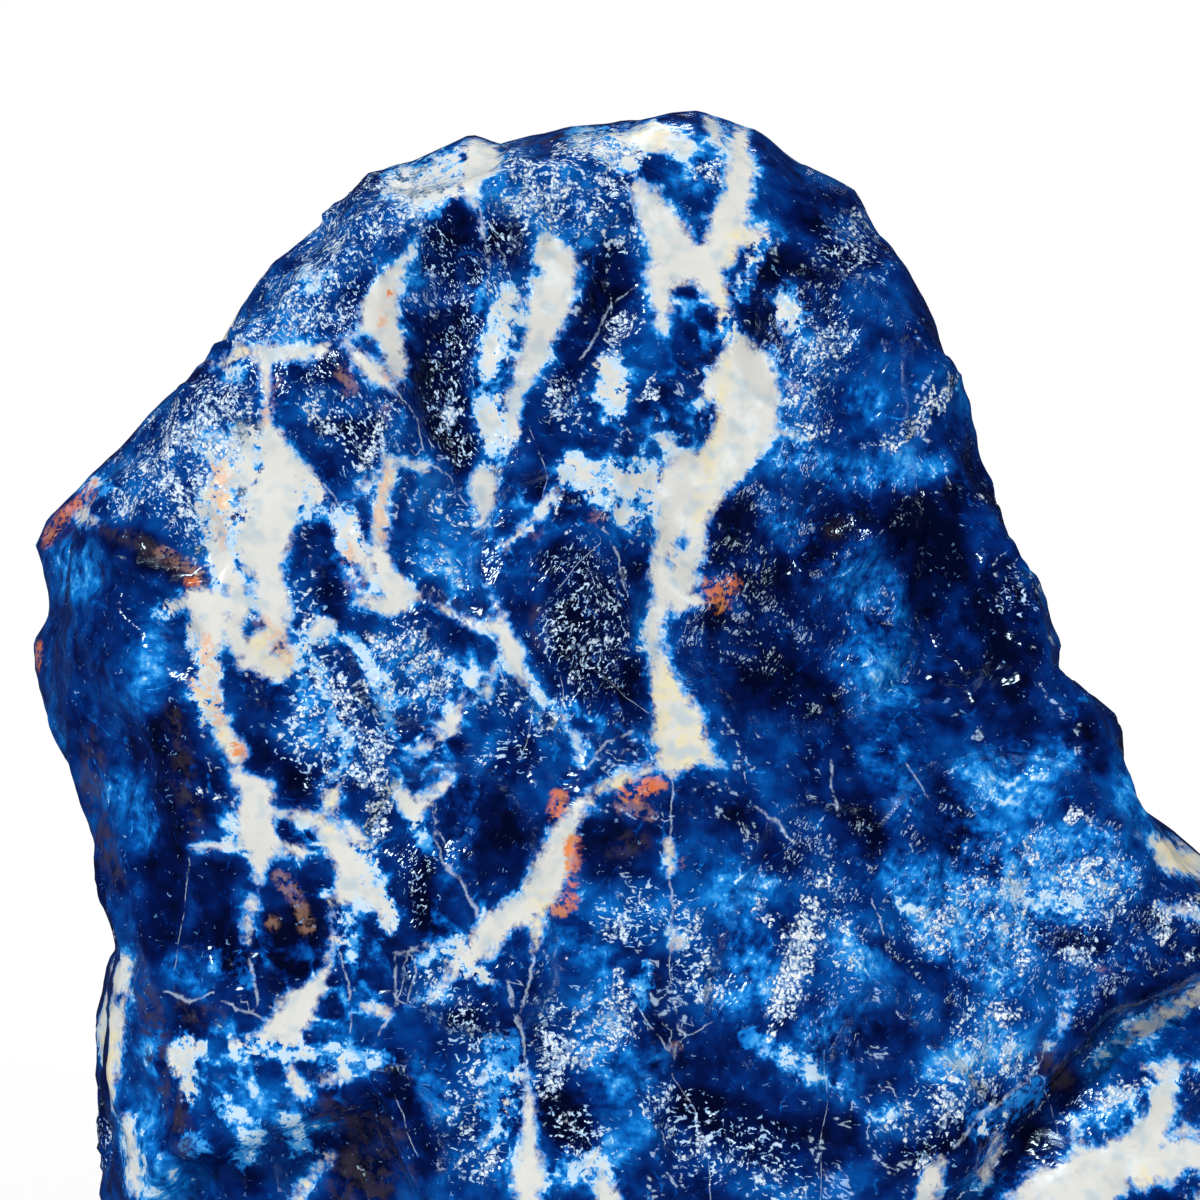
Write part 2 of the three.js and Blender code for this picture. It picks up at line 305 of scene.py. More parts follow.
def find_skin(start, end, depth):
    """The point on each line from inside to outside where the plain stone's value is minus the
    depth, or where it meets the foot, found by halving the line."""
    inner, outer = start.copy(), end.copy()
    for _ in range(halvings):
        middle = (inner + outer) / 2
        field = smooth_max(plain_stone(middle) + depth, -middle[:, 2], base_rounding)
        within = (field < 0)[:, None]
        inner, outer = np.where(within, middle, inner), np.where(within, outer, middle)
    return inner


def outline_radius(directions):
    """Distance from the middle of the plate to the outline along each direction in the front
    view: the farthest crossing of the direction's line with an edge."""
    centre = plate_middle[[0, 2]]
    radius = np.zeros(len(directions))
    for start, end in zip(outline, np.roll(outline, -1, axis=0)):
        out, edge = start - centre, end - start
        cross = directions[:, 0] * edge[1] - directions[:, 1] * edge[0]
        cross = np.where(np.abs(cross) < nearly_nothing, nearly_nothing, cross)
        along = (out[0] * edge[1] - out[1] * edge[0]) / cross
        share = (out[0] * directions[:, 1] - out[1] * directions[:, 0]) / cross
        crossed = (along > 0) & (share >= 0) & (share <= 1)
        radius = np.where(crossed, np.maximum(radius, along), radius)
    return radius


def block_grid(steps):
    """The six sides of a block as one closed grid. Each side is a grid of two whole-number
    coordinates, points that sides share are merged by their lattice number, and faces are
    wound to look outwards."""
    quads = []
    for axis in range(3):
        first, second = (axis + 1) % 3, (axis + 2) % 3
        i, j = np.meshgrid(np.arange(steps[first]), np.arange(steps[second]), indexing="ij")
        for level in (0, steps[axis]):
            corners = []
            for shift_i, shift_j in ((0, 0), (1, 0), (1, 1), (0, 1)):
                lattice = np.empty(i.shape + (3,), dtype=np.int64)
                lattice[..., axis] = level
                lattice[..., first] = i + shift_i
                lattice[..., second] = j + shift_j
                corners.append(lattice.reshape(-1, 3))
            if level == 0:
                corners.reverse()
            quads.append(np.stack(corners, axis=1))
    lattice = np.concatenate(quads).reshape(-1, 3)
    stride = steps.max() + 1
    number = (lattice[:, 0] * stride + lattice[:, 1]) * stride + lattice[:, 2]
    _, first_seen, corner_index = np.unique(number, return_index=True, return_inverse=True)
    return lattice[first_seen], corner_index.reshape(-1, 4)


def bend_to_outline(block):
    """Moves the points of the block in the front view along lines through its middle, so that
    its four sides follow the outline of the stone."""
    flat = block[:, [0, 2]]
    reach = np.abs(flat / (block_size[[0, 2]] / 2)).max(axis=1)
    length = np.maximum(np.linalg.norm(flat, axis=1), nearly_nothing)
    scale = reach * outline_radius(flat / length[:, None]) / length
    bent = block.copy()
    bent[:, [0, 2]] = flat * scale[:, None]
    return bent


lattice_points, stone_quads = block_grid(block_steps)
block_points = (lattice_points / block_steps - 0.5) * block_size
line_end = bend_to_outline(block_points)
line_start = line_end * [plate_share, 0, plate_share] + plate_middle
line_end = line_start + (line_end + plate_middle - line_start) * overshoot
plain_skin = find_skin(line_start, line_end, 0)
stone_points = find_skin(line_start, line_end, relief_depth(plain_skin))
stone_points[np.abs(stone_points[:, 2]) < foot_snap, 2] = 0

# --- Where the veins and colours lie -------------------------------------------------------------
# White feldspar and calcite fill the old cracks of the blue stone, with pale blue soaked out at
# their edges, rust and blush spots in them, and sugary glinting breaks between. They are drawn
# on a sheet 120 mm square that the viewer sees, in tenths of a millimetre right and down from
# its top left corner, each as points with a half width, and carried back onto the skin.

view_centre = np.array([-12.5, 3.0, 85.0])
view_distance = 360.0
view_rise = math.radians(7)
to_viewer = np.array([0, -math.cos(view_rise), math.sin(view_rise)])
view_up = np.array([0, math.sin(view_rise), math.cos(view_rise)])
eye = view_centre + to_viewer * view_distance
sheet_middle, sheet_scale = 600, 10

white_veins = [
    # along the top
    [(398, 186, 2), (424, 180, 4), (452, 172, 5)],
    [(414, 206, 2), (436, 194, 4), (456, 186, 5)],
    [(588, 150, 2), (612, 156, 4), (638, 158, 5)],
    [(478, 143, 14), (481, 157, 21), (468, 178, 14), (466, 194, 7), (478, 211, 3), (483, 237, 1)],
    [(618, 133, 4), (636, 137, 10), (662, 139, 14), (686, 146, 9)],
    [(712, 122, 8), (718, 140, 6), (728, 150, 6)],
    [(639, 190, 10), (657, 222, 20), (672, 248, 22), (690, 262, 26), (712, 250, 27),
     (726, 226, 20), (735, 200, 16), (741, 170, 14), (738, 146, 9), (742, 130, 8)],
    [(657, 188, 7)],
    [(736, 236, 14), (762, 234, 8), (777, 240, 2)],
    [(660, 275, 18), (659, 300, 13), (660, 322, 8)],
    [(708, 275, 18), (716, 292, 14), (726, 306, 9)],
    # the lozenge, the tooth and the wedge on the left of the trough
    [(550, 250, 15), (554, 268, 25), (550, 300, 23), (543, 331, 18), (533, 357, 15),
     (519, 388, 10), (514, 408, 8), (514, 428, 6)],
    [(520, 300, 6), (520, 318, 8)],
    [(483, 478, 14), (484, 500, 13), (480, 522, 6)],
    [(415, 242, 3), (399, 268, 8), (386, 293, 16), (380, 318, 22), (392, 344, 14),
     (398, 372, 8)],
    [(366, 326, 9), (350, 336, 3)],
    [(346, 342, 4), (360, 360, 8), (378, 378, 9), (390, 392, 5)],
    # the level vein on the left and its branch
    [(208, 365, 3), (239, 354, 9), (282, 354, 10), (318, 349, 8), (342, 342, 3)],
    [(264, 362, 10), (264, 380, 7), (264, 400, 4), (265, 422, 6), (270, 440, 14), (277, 462, 22),
     (274, 505, 28), (269, 530, 26), (262, 545, 25), (266, 575, 20), (276, 610, 16), (276, 634, 11)],
    [(286, 460, 12), (304, 478, 13), (318, 490, 6)],
    [(252, 428, 5), (242, 450, 10), (246, 480, 12)],
    [(210, 462, 7)],
    [(232, 572, 8), (240, 600, 10), (234, 630, 10), (242, 662, 8)],
    [(262, 640, 14), (250, 660, 10), (278, 668, 12), (285, 660, 10)],
    [(222, 468, 6), (214, 495, 13), (211, 525, 13), (214, 553, 10), (226, 570, 8)],
    [(88, 504, 5), (84, 515, 8), (98, 524, 5)],
    [(173, 606, 3), (193, 602, 12), (209, 606, 17), (206, 629, 17), (212, 652, 13),
     (206, 675, 12), (198, 686, 12), (209, 708, 8), (219, 726, 8), (229, 741, 9), (237, 755, 9),
     (236, 775, 7), (260, 795, 18), (257, 815, 20), (259, 837, 21), (259, 862, 9), (258, 885, 2)],
    [(196, 849, 2), (222, 846, 3), (240, 840, 6)],
    [(275, 812, 8), (313, 818, 8), (333, 831, 13), (346, 852, 15), (349, 872, 12), (344, 893, 9)],
    [(280, 850, 8), (312, 856, 6)],
    [(331, 798, 12)],
    [(364, 888, 8), (384, 913, 6), (390, 928, 3)],
    [(352, 826, 6), (366, 846, 8)],
    [(252, 900, 5), (249, 918, 4), (246, 936, 2)],
    [(326, 903, 2), (331, 939, 3), (326, 972, 5), (313, 990, 9), (296, 1010, 20), (282, 1024, 14),
     (262, 1035, 9), (239, 1041, 3)],
    [(292, 1020, 12), (295, 1041, 8), (299, 1050, 3)],
    # the vein that wanders right from the left patch
    [(384, 455, 3), (392, 466, 7), (384, 500, 7), (380, 530, 8), (378, 556, 10), (392, 583, 11),
     (410, 594, 6), (427, 603, 3), (458, 617, 3), (481, 625, 5), (500, 625, 9), (514, 650, 9),
     (519, 676, 6), (534, 693, 1), (554, 703, 1), (566, 718, 2), (577, 741, 5), (580, 757, 5)],
    [(486, 582, 1), (493, 598, 3), (503, 618, 6)],
    [(352, 520, 4), (350, 540, 7), (364, 562, 10), (372, 576, 8)],
    [(358, 600, 6), (378, 606, 10), (400, 602, 10)],
    [(388, 464, 5), (408, 463, 5), (428, 466, 3)],
    [(360, 488, 6), (372, 480, 6)],
    [(320, 626, 7), (328, 622, 5)],
    # the tall right patch
    [(738, 345, 5), (745, 362, 28), (743, 394, 40), (742, 430, 33), (728, 452, 30), (706, 470, 32),
     (690, 490, 30), (687, 514, 28), (682, 535, 28), (677, 560, 26), (675, 583, 24),
     (664, 603, 12), (654, 626, 8), (657, 649, 10), (662, 675, 13), (672, 700, 17),
     (680, 731, 26), (682, 745, 24), (676, 758, 17)],
    [(776, 432, 8), (788, 437, 2), (805, 441, 1)],
    [(676, 605, 11), (702, 602, 8)],
    [(668, 440, 9)],
    [(698, 747, 15), (712, 757, 9), (722, 764, 3)],
    # the chain and the lower vein
    [(473, 673, 3), (462, 690, 3), (456, 712, 6), (450, 730, 10), (434, 741, 4), (412, 758, 4)],
    [(494, 664, 3), (488, 692, 7), (484, 704, 3)],
    [(452, 772, 3), (442, 785, 6), (428, 796, 7), (412, 806, 13), (400, 792, 6)],
    [(650, 766, 7), (622, 778, 8), (598, 788, 6), (574, 812, 9), (564, 832, 13), (556, 858, 16),
     (545, 886, 20), (531, 908, 16), (510, 912, 13), (494, 926, 15), (476, 950, 12), (458, 962, 9),
     (440, 990, 5), (415, 1005, 2)],
    [(491, 935, 10), (490, 955, 5)],
    [(538, 905, 12), (537, 934, 6), (535, 956, 3)],
    [(471, 975, 5), (497, 982, 2)],
    # lower left
    [(176, 1053, 6), (191, 1049, 8), (205, 1052, 5)],
    [(325, 1079, 4), (343, 1076, 6)],
    [(362, 1008, 4), (384, 1013, 6)],
    [(126, 1116, 4), (129, 1145, 6), (133, 1172, 7), (138, 1196, 3)],
    [(330, 1159, 4), (301, 1194, 6)],
    [(120, 962, 7), (113, 990, 13), (110, 1030, 14), (109, 1070, 12), (105, 1100, 7), (102, 1118, 3)],
    [(176, 1066, 5), (181, 1088, 7)],
    [(290, 1068, 3), (295, 1078, 5), (302, 1092, 5)],
    # lower middle
    [(526, 1065, 2), (530, 1105, 7), (529, 1150, 9), (531, 1175, 13), (528, 1230, 12)],
    [(598, 1153, 4), (600, 1172, 6), (606, 1192, 9), (616, 1215, 10)],
    [(668, 843, 5), (669, 854, 7), (666, 872, 3)],
    [(672, 928, 3), (675, 940, 8)],
    # the lower right corner
    [(1158, 839, 4), (1172, 846, 7)],
    [(1172, 1066, 6), (1167, 1088, 9), (1163, 1111, 14), (1152, 1138, 20), (1134, 1164, 31),
     (1096, 1178, 29), (1045, 1184, 22), (1018, 1196, 12)],
    [(1146, 1064, 2), (1174, 1063, 5), (1204, 1064, 3)],
    [(1072, 1120, 2), (1076, 1142, 6), (1078, 1162, 10), (1056, 1168, 8)],
    [(1176, 1164, 25), (1210, 1160, 25)],
    [(1160, 907, 2), (1182, 911, 5), (1206, 914, 5)],
    [(1204, 991, 8), (1168, 1012, 10), (1141, 1027, 10), (1120, 1040, 4), (1102, 1058, 4),
     (1097, 1073, 4)],
    [(1069, 999, 4), (1064, 1024, 3), (1044, 1047, 2)],
    [(947, 1157, 4), (934, 1180, 12), (925, 1210, 15)],
    [(1001, 1134, 4), (993, 1160, 5), (984, 1186, 5)],
    [(1152, 840, 6), (1166, 849, 14), (1187, 860, 14), (1215, 862, 14)],
    # beyond the sheet on the right and below
    [(1215, 1200, 20), (1240, 1260, 14), (1230, 1330, 8)],
    [(1290, 1010, 6), (1320, 1080, 9), (1350, 1180, 5)],
    [(925, 1205, 14), (900, 1290, 12), (930, 1360, 6)],
    [(528, 1230, 12), (500, 1300, 8), (440, 1360, 5)],
    [(301, 1194, 6), (270, 1270, 9), (230, 1330, 6)],
    [(700, 1290, 10), (760, 1330, 14), (820, 1310, 7)],
    # pale webs between the larger veins
    [(510, 296, 3), (503, 318, 5), (494, 345, 6), (490, 362, 4)],
    [(489, 422, 9), (496, 432, 4)],
    [(788, 308, 4), (791, 325, 6)],
    [(570, 470, 4), (598, 475, 7), (624, 481, 9), (650, 488, 9)],
    [(503, 546, 2), (512, 534, 4), (528, 523, 4), (543, 508, 3), (554, 494, 2)],
    [(620, 519, 3), (630, 523, 4)],
    [(604, 362, 6), (612, 385, 7), (620, 405, 5)],
    [(1186, 1134, 8), (1210, 1128, 8)],
]

blue_islands = [
    [(676, 190, 8), (687, 208, 13), (697, 226, 11), (700, 240, 4)],
    [(690, 292, 9), (694, 312, 18), (690, 338, 13), (687, 352, 6)],
    [(674, 345, 12), (672, 380, 12), (670, 414, 9)],
    [(739, 283, 9)],
    [(763, 318, 14), (764, 334, 14)],
    [(712, 408, 7), (710, 418, 9), (702, 434, 9), (692, 445, 8), (683, 440, 6)],
    [(713, 338, 2), (713, 350, 3)],
    [(298, 829, 5), (296, 839, 6)],
    [(319, 866, 15), (323, 878, 14)],
    [(232, 835, 5)],
    [(248, 580, 7)],
    [(273, 649, 5)],
    [(536, 271, 4)],
    [(517, 347, 7), (509, 370, 7)],
    [(226, 1058, 6)],
    [(259, 1055, 6), (260, 1068, 7)],
    [(313, 1048, 13)],
    [(364, 1034, 13), (374, 1036, 14)],
    [(1112, 1088, 26), (1126, 1096, 26), (1096, 1128, 9)],
    [(1192, 1090, 13), (1196, 1118, 12)],
    [(1194, 1183, 12)],
    [(682, 542, 5)],
    [(672, 558, 3), (672, 563, 3)],
    [(430, 762, 10)],
    [(479, 700, 4), (474, 692, 4)],
    [(655, 1175, 9)],
    [(566, 476, 6)],
    [(632, 447, 7), (628, 462, 5)],
    [(526, 294, 4)],
    [(511, 371, 8), (503, 386, 6)],
    [(675, 161, 12), (664, 158, 8)],
    [(699, 122, 9), (698, 134, 5)],
    [(711, 172, 14), (722, 168, 8)],
    [(789, 345, 9)],
    [(116, 998, 4)],
    [(452, 755, 7)],
    [(429, 769, 11)],
    [(406, 960, 8)],
    [(431, 970, 13)],
    [(1133, 1184, 3), (1140, 1204, 4)],
]

threads = [
    [(191, 867, 1.5), (185, 894, 1), (178, 939, 1), (175, 961, 1)],
    [(675, 777, 2), (674, 825, 2), (668, 845, 3), (666, 872, 3), (672, 900, 3), (673, 930, 3),
     (671, 968, 1), (674, 998, 2), (676, 1029, 3), (674, 1052, 4), (674, 1077, 1),
     (693, 1105, 1), (707, 1167, 1), (710, 1215, 1)],
    [(637, 1007, 2), (671, 1057, 2)],
    [(704, 1027, 2), (676, 1041, 1)],
    [(535, 956, 3), (524, 990, 3), (518, 1021, 3), (525, 1060, 3), (528, 1090, 5)],
    [(562, 580, 1), (598, 545, 1)],
    [(598, 670, 1), (622, 694, 1), (644, 708, 1)],
    [(562, 684, 1), (562, 706, 1)],
    [(532, 700, 1), (531, 730, 1), (524, 750, 1)],
    [(593, 759, 3), (606, 740, 3), (623, 734, 4)],
    [(431, 812, 2), (437, 847, 2), (446, 866, 4), (463, 880, 4), (476, 908, 4)],
    [(432, 831, 2), (440, 836, 1), (436, 810, 1)],
    [(452, 943, 5), (421, 950, 5), (396, 956, 4), (398, 979, 4), (396, 1008, 4), (383, 1028, 3)],
    [(342, 342, 3), (362, 352, 3), (385, 372, 3), (398, 395, 2), (420, 420, 2), (424, 446, 2)],
    [(392, 462, 3), (425, 462, 3), (448, 475, 2), (462, 496, 2)],
    [(318, 479, 2), (338, 500, 3), (350, 530, 3)],
    [(483, 237, 1.5), (490, 262, 1), (488, 300, 1)],
    [(535, 440, 1), (548, 480, 1), (540, 500, 1)],
    [(100, 960, 3), (104, 1010, 3), (106, 1060, 2)],
    [(395, 1102, 1), (405, 1127, 1.5), (415, 1148, 1)],
    [(1044, 1047, 1), (1040, 1065, 1), (1050, 1110, 1), (1056, 1130, 1)],
    [(825, 1060, 1), (822, 1200, 1)],
    [(345, 345, 1), (310, 358, 1)],
    [(417, 954, 3), (419, 975, 2), (412, 994, 2)],
    [(340, 960, 2), (348, 989, 3), (350, 1023, 2)],
    [(252, 966, 3), (258, 996, 3)],
    [(172, 995, 3), (190, 1001, 4), (207, 995, 3)],
    [(229, 1004, 3), (246, 1012, 4), (264, 1018, 3)],
    [(606, 536, 3), (618, 560, 3), (623, 582, 2)],
    [(499, 647, 3), (503, 679, 2)],
    [(628, 292, 2), (612, 307, 3), (586, 351, 3)],
    [(475, 197, 3), (482, 227, 3), (485, 256, 2)],
    [(330, 505, 3), (334, 530, 3), (350, 545, 3), (368, 548, 3)],
    [(509, 989, 4), (512, 1010, 3), (520, 1040, 3)],
    [(1038, 1067, 4), (1015, 1090, 5), (984, 1113, 5), (961, 1140, 4)],
    [(763, 814, 4), (778, 824, 5), (791, 838, 3)],
    [(832, 770, 2), (838, 806, 3)],
    [(912, 773, 2), (929, 795, 2)],
    [(875, 909, 2), (887, 951, 2)],
]

pale_zones = [
    [(503, 285, 5), (498, 320, 7), (495, 360, 6), (490, 405, 10), (504, 436, 13), (496, 458, 7)],
    [(612, 366, 9), (614, 392, 14), (612, 412, 10)],
    [(582, 470, 10), (605, 485, 18), (634, 500, 16), (642, 468, 14)],
    [(728, 326, 8)],
    [(787, 295, 8), (793, 315, 8)],
    [(760, 248, 6), (745, 290, 5)],
    [(345, 505, 8), (350, 545, 10)],
    [(235, 480, 9), (230, 520, 12), (225, 550, 10)],
    [(305, 490, 9), (312, 510, 6)],
    [(304, 640, 3), (330, 700, 4), (345, 740, 5), (332, 775, 4)],
    [(352, 640, 4), (385, 690, 4), (400, 735, 5)],
    [(365, 850, 6), (378, 890, 5), (388, 925, 4)],
    [(340, 920, 4), (350, 960, 5)],
    [(160, 612, 5)],
    [(200, 630, 8), (205, 720, 8)],
    [(180, 1045, 7), (185, 1075, 7), (190, 1100, 5)],
    [(225, 1110, 9), (250, 1135, 10), (240, 1160, 10)],
    [(290, 1125, 8), (300, 1150, 8)],
    [(425, 960, 4), (450, 940, 5), (480, 975, 6)],
    [(415, 830, 8), (428, 845, 5)],
    [(504, 1040, 8), (508, 1090, 10), (500, 1130, 8)],
    [(640, 1000, 5), (645, 965, 6)],
    [(745, 1040, 5), (806, 1068, 10)],
    [(590, 1150, 3), (570, 1180, 3)],
    [(1040, 1082, 7), (1010, 1108, 8), (975, 1125, 6)],
    [(880, 1115, 5), (893, 1112, 5)],
    [(236, 370, 5), (228, 380, 5)],
    [(90, 480, 6), (110, 490, 6)],
    [(262, 440, 5), (250, 460, 7)],
    [(215, 500, 9), (214, 540, 10), (222, 566, 8)],
    [(570, 474, 8), (600, 480, 10), (640, 492, 8)],
    [(240, 1052, 5), (345, 1052, 6), (385, 1058, 6)],
    [(392, 182, 14), (412, 172, 18), (440, 168, 20), (424, 206, 14)],
    [(574, 134, 10), (600, 140, 16), (622, 156, 14)],
    [(208, 448, 14), (236, 446, 20), (226, 470, 12)],
    [(208, 510, 12), (222, 560, 12)],
    [(612, 380, 8), (612, 404, 8)],
    [(1112, 1096, 6), (1130, 1093, 6)],
    [(1033, 905, 7), (1060, 900, 8), (1082, 908, 7)],
    [(903, 898, 5), (912, 908, 5)],
    [(492, 1045, 8), (500, 1080, 12), (497, 1110, 10)],
    [(186, 1140, 6), (200, 1148, 6)],
    [(218, 950, 5), (217, 970, 4)],
    [(240, 955, 6), (250, 980, 5)],
    [(308, 282, 8), (318, 278, 6)],
]

azure_zones = [
    [(850, 580, 20), (880, 615, 26), (865, 655, 20)],
    [(885, 740, 16), (905, 790, 16)],
    [(975, 775, 12), (1030, 795, 16)],
    [(790, 462, 10), (835, 470, 12), (880, 478, 8)],
    [(863, 405, 10)],
    [(900, 870, 20), (960, 890, 30), (1030, 870, 30), (1090, 850, 24)],
    [(970, 940, 20), (1020, 930, 20), (1080, 900, 20)],
    [(732, 886, 18), (748, 940, 20), (755, 985, 22), (722, 1000, 16)],
    [(420, 1070, 12), (440, 1100, 14)],
    [(145, 1150, 10), (155, 1195, 12)],
    [(81, 560, 14), (86, 580, 14)],
    [(150, 640, 8), (145, 695, 9)],
    [(124, 789, 12), (150, 830, 10)],
    [(300, 660, 6), (306, 690, 6), (312, 730, 5)],
    [(590, 1000, 14), (620, 1070, 18), (600, 1100, 12)],
    [(486, 188, 7)],
    [(413, 270, 6), (412, 300, 6)],
    [(588, 240, 6)],
    [(675, 166, 9), (720, 150, 8)],
    [(430, 550, 12), (460, 565, 8)],
    [(1010, 1045, 10), (940, 1060, 10)],
    [(820, 1040, 16), (850, 1020, 14)],
    [(560, 940, 10), (600, 960, 12)],
    [(180, 970, 10), (200, 990, 10)],
    [(470, 790, 5), (455, 870, 6)],
    [(640, 1130, 8), (575, 1180, 8)],
    [(285, 335, 7), (305, 342, 6)],
    [(250, 1100, 8), (330, 1130, 6)],
    [(350, 990, 6), (335, 1030, 8)],
    [(800, 540, 6), (770, 520, 8)],
    [(760, 560, 6)],
    [(880, 690, 8)],
    [(1150, 1110, 4), (1090, 1110, 8)],
    [(870, 960, 8), (845, 930, 8)],
    [(722, 895, 12), (745, 900, 16), (762, 890, 10)],
    [(745, 965, 12), (760, 985, 12)],
    [(964, 830, 16), (1010, 860, 26), (1060, 870, 30), (1110, 880, 20)],
    [(930, 900, 14), (955, 950, 14), (1010, 980, 10)],
    [(860, 570, 14), (875, 610, 26), (885, 650, 22), (900, 690, 14)],
    [(880, 750, 16), (900, 775, 14)],
    [(990, 765, 20), (1040, 765, 18), (1075, 760, 12)],
    [(855, 470, 12), (900, 470, 14), (935, 465, 12)],
    [(1140, 810, 10), (1130, 790, 8)],
    [(590, 1040, 20), (620, 1080, 22), (650, 1060, 14)],
    [(145, 1110, 8), (150, 1150, 12), (165, 1190, 14)],
    [(800, 1060, 16), (840, 1080, 14)],
    [(985, 785, 14), (1005, 778, 14), (1022, 770, 10)],
    [(985, 840, 16), (1000, 870, 18)],
]

# black-blue stretches: partly the stone's own dark colour, partly painted shade in the trough between the
# upper veins, the crease under the left ledge, the right-hand rim and the fissure low on the right
dark_and_shade_zones = [
    [(448, 232, 22), (448, 290, 30), (442, 350, 24), (452, 420, 16), (462, 465, 8)],
    [(500, 240, 12), (512, 255, 8)],
    [(608, 262, 16), (606, 300, 18), (588, 340, 12), (560, 400, 8)],
    [(560, 560, 20), (590, 620, 34), (610, 670, 26)],
    [(540, 480, 8), (560, 500, 8)],
    [(930, 500, 18), (935, 555, 20), (925, 600, 12)],
    [(1003, 570, 16), (1010, 640, 22), (1000, 700, 22), (960, 690, 12)],
    [(770, 262, 16), (820, 265, 20), (870, 250, 14)],
    [(763, 318, 14), (763, 334, 14)],
    [(298, 834, 12)],
    [(880, 520, 12), (810, 545, 10), (840, 556, 8)],
    [(110, 545, 8), (150, 562, 9), (195, 585, 6)],
    [(165, 720, 10), (175, 790, 14), (180, 830, 12), (165, 900, 14), (150, 940, 10)],
    [(215, 880, 14), (214, 920, 16), (236, 960, 10)],
    [(275, 930, 12), (285, 960, 10), (310, 900, 8)],
    [(390, 1060, 5), (398, 1100, 6), (415, 1125, 10), (430, 1165, 12)],
    [(360, 1120, 16), (370, 1170, 20), (330, 1150, 14)],
    [(830, 700, 16), (770, 680, 26), (735, 640, 18)],
    [(1200, 943, 10), (1141, 984, 12), (1090, 1024, 14), (1050, 1060, 12), (1030, 1110, 12),
     (957, 1142, 10), (905, 1165, 8)],
    [(470, 810, 30), (500, 830, 24)],
    [(425, 850, 10), (418, 890, 14), (430, 915, 12)],
    [(520, 740, 14), (500, 790, 14)],
    [(600, 835, 16), (625, 850, 18)],
    [(732, 794, 10), (763, 838, 8), (778, 860, 8)],
    [(1085, 735, 16), (1100, 760, 12)],
    [(590, 1110, 12), (560, 1130, 8)],
    [(740, 500, 10), (720, 545, 14)],
    [(210, 800, 14), (200, 770, 10)],
    [(730, 1130, 20), (790, 1150, 24), (850, 1140, 20)],
    [(330, 425, 8), (365, 440, 14)],
    [(470, 1015, 8), (450, 1020, 6)],
    [(975, 860, 8), (988, 872, 6)],
    [(1050, 935, 8), (1100, 945, 8)],
    [(300, 780, 8), (310, 795, 8)],
    [(335, 575, 8), (330, 620, 8)],
    [(960, 1170, 8), (1010, 1165, 6)],
    [(880, 850, 10), (850, 810, 10)],
    [(882, 520, 14), (930, 520, 26), (945, 560, 20), (925, 590, 12)],
    [(765, 570, 14), (772, 610, 18), (765, 640, 14)],
    [(985, 600, 14), (1005, 650, 24), (1000, 710, 24), (1020, 735, 14)],
    [(750, 820, 8), (775, 850, 10), (795, 865, 8)],
    [(722, 795, 12), (745, 800, 10)],
    [(950, 830, 8), (975, 850, 9), (990, 862, 6)],
    [(590, 838, 14), (612, 850, 18), (600, 880, 8)],
    [(550, 1105, 12), (570, 1120, 16), (585, 1140, 8)],
    [(700, 1110, 16), (740, 1140, 26), (800, 1150, 26), (850, 1130, 18)],
    [(498, 240, 10), (512, 245, 12), (520, 258, 6)],
    [(600, 255, 14), (608, 280, 16), (592, 310, 12), (570, 340, 10)],
    [(806, 230, 16), (812, 262, 16)],
    [(345, 1090, 10), (375, 1105, 16), (350, 1130, 12)],
    [(183, 1010, 10), (195, 1028, 10)],
    [(254, 758, 8), (248, 745, 6)],
    [(301, 784, 9), (306, 796, 8)],
    [(205, 775, 12), (215, 800, 12)],
    [(1020, 1130, 14), (1045, 1150, 12)],
    [(1055, 1070, 12), (1065, 1090, 12)],
]

glint_zones = [
    [(140, 450, 26), (190, 420, 28), (225, 400, 18), (240, 430, 12)],
    [(130, 500, 14), (180, 480, 28), (190, 530, 22), (215, 540, 12)],
    [(280, 300, 20), (313, 293, 20), (330, 240, 26), (385, 195, 24)],
    [(240, 330, 10), (300, 325, 12), (341, 311, 12)],
    [(510, 150, 10), (520, 200, 22), (570, 190, 26), (600, 190, 20)],
    [(500, 235, 12), (600, 215, 14), (632, 240, 8)],
    [(430, 240, 10), (455, 300, 8), (460, 350, 12), (455, 410, 14), (462, 450, 10)],
    [(560, 395, 14), (575, 420, 12)],
    [(310, 390, 14), (335, 420, 18), (370, 450, 22), (385, 420, 12)],
    [(575, 560, 14), (590, 600, 24), (560, 630, 18), (600, 640, 24), (590, 665, 16)],
    [(440, 500, 10), (470, 520, 8)],
    [(430, 560, 14), (450, 575, 10)],
    [(300, 600, 14), (315, 640, 16), (310, 700, 22), (345, 720, 24), (385, 690, 20)],
    [(300, 730, 22), (340, 760, 22), (380, 740, 20)],
    [(400, 650, 18), (430, 670, 18), (420, 700, 14)],
    [(560, 1020, 24), (600, 1020, 24), (545, 1070, 16)],
    [(575, 1130, 20), (600, 1160, 12)],
    [(660, 1100, 16), (700, 1140, 26), (760, 1160, 28), (790, 1190, 18)],
    [(620, 930, 16), (640, 900, 12), (690, 930, 16), (700, 990, 14)],
    [(940, 930, 24), (1000, 900, 30), (1020, 950, 20)],
    [(980, 1030, 24), (1000, 1060, 20), (950, 1080, 24)],
    [(900, 1115, 16), (930, 1140, 16)],
    [(1080, 880, 24), (1110, 880, 20), (1090, 950, 16)],
    [(850, 235, 18), (862, 262, 16)],
    [(830, 330, 18), (810, 365, 18), (795, 405, 14)],
    [(840, 925, 10), (842, 960, 8)],
    [(270, 590, 10), (240, 640, 6)],
    [(490, 700, 8), (560, 700, 8), (500, 760, 8)],
    [(430, 980, 12), (455, 1010, 16), (480, 1050, 14), (470, 1110, 16), (480, 1160, 16)],
    [(1020, 575, 10), (1012, 600, 8)],
    [(415, 865, 12), (420, 900, 8)],
    [(510, 300, 4), (480, 270, 6)],
]
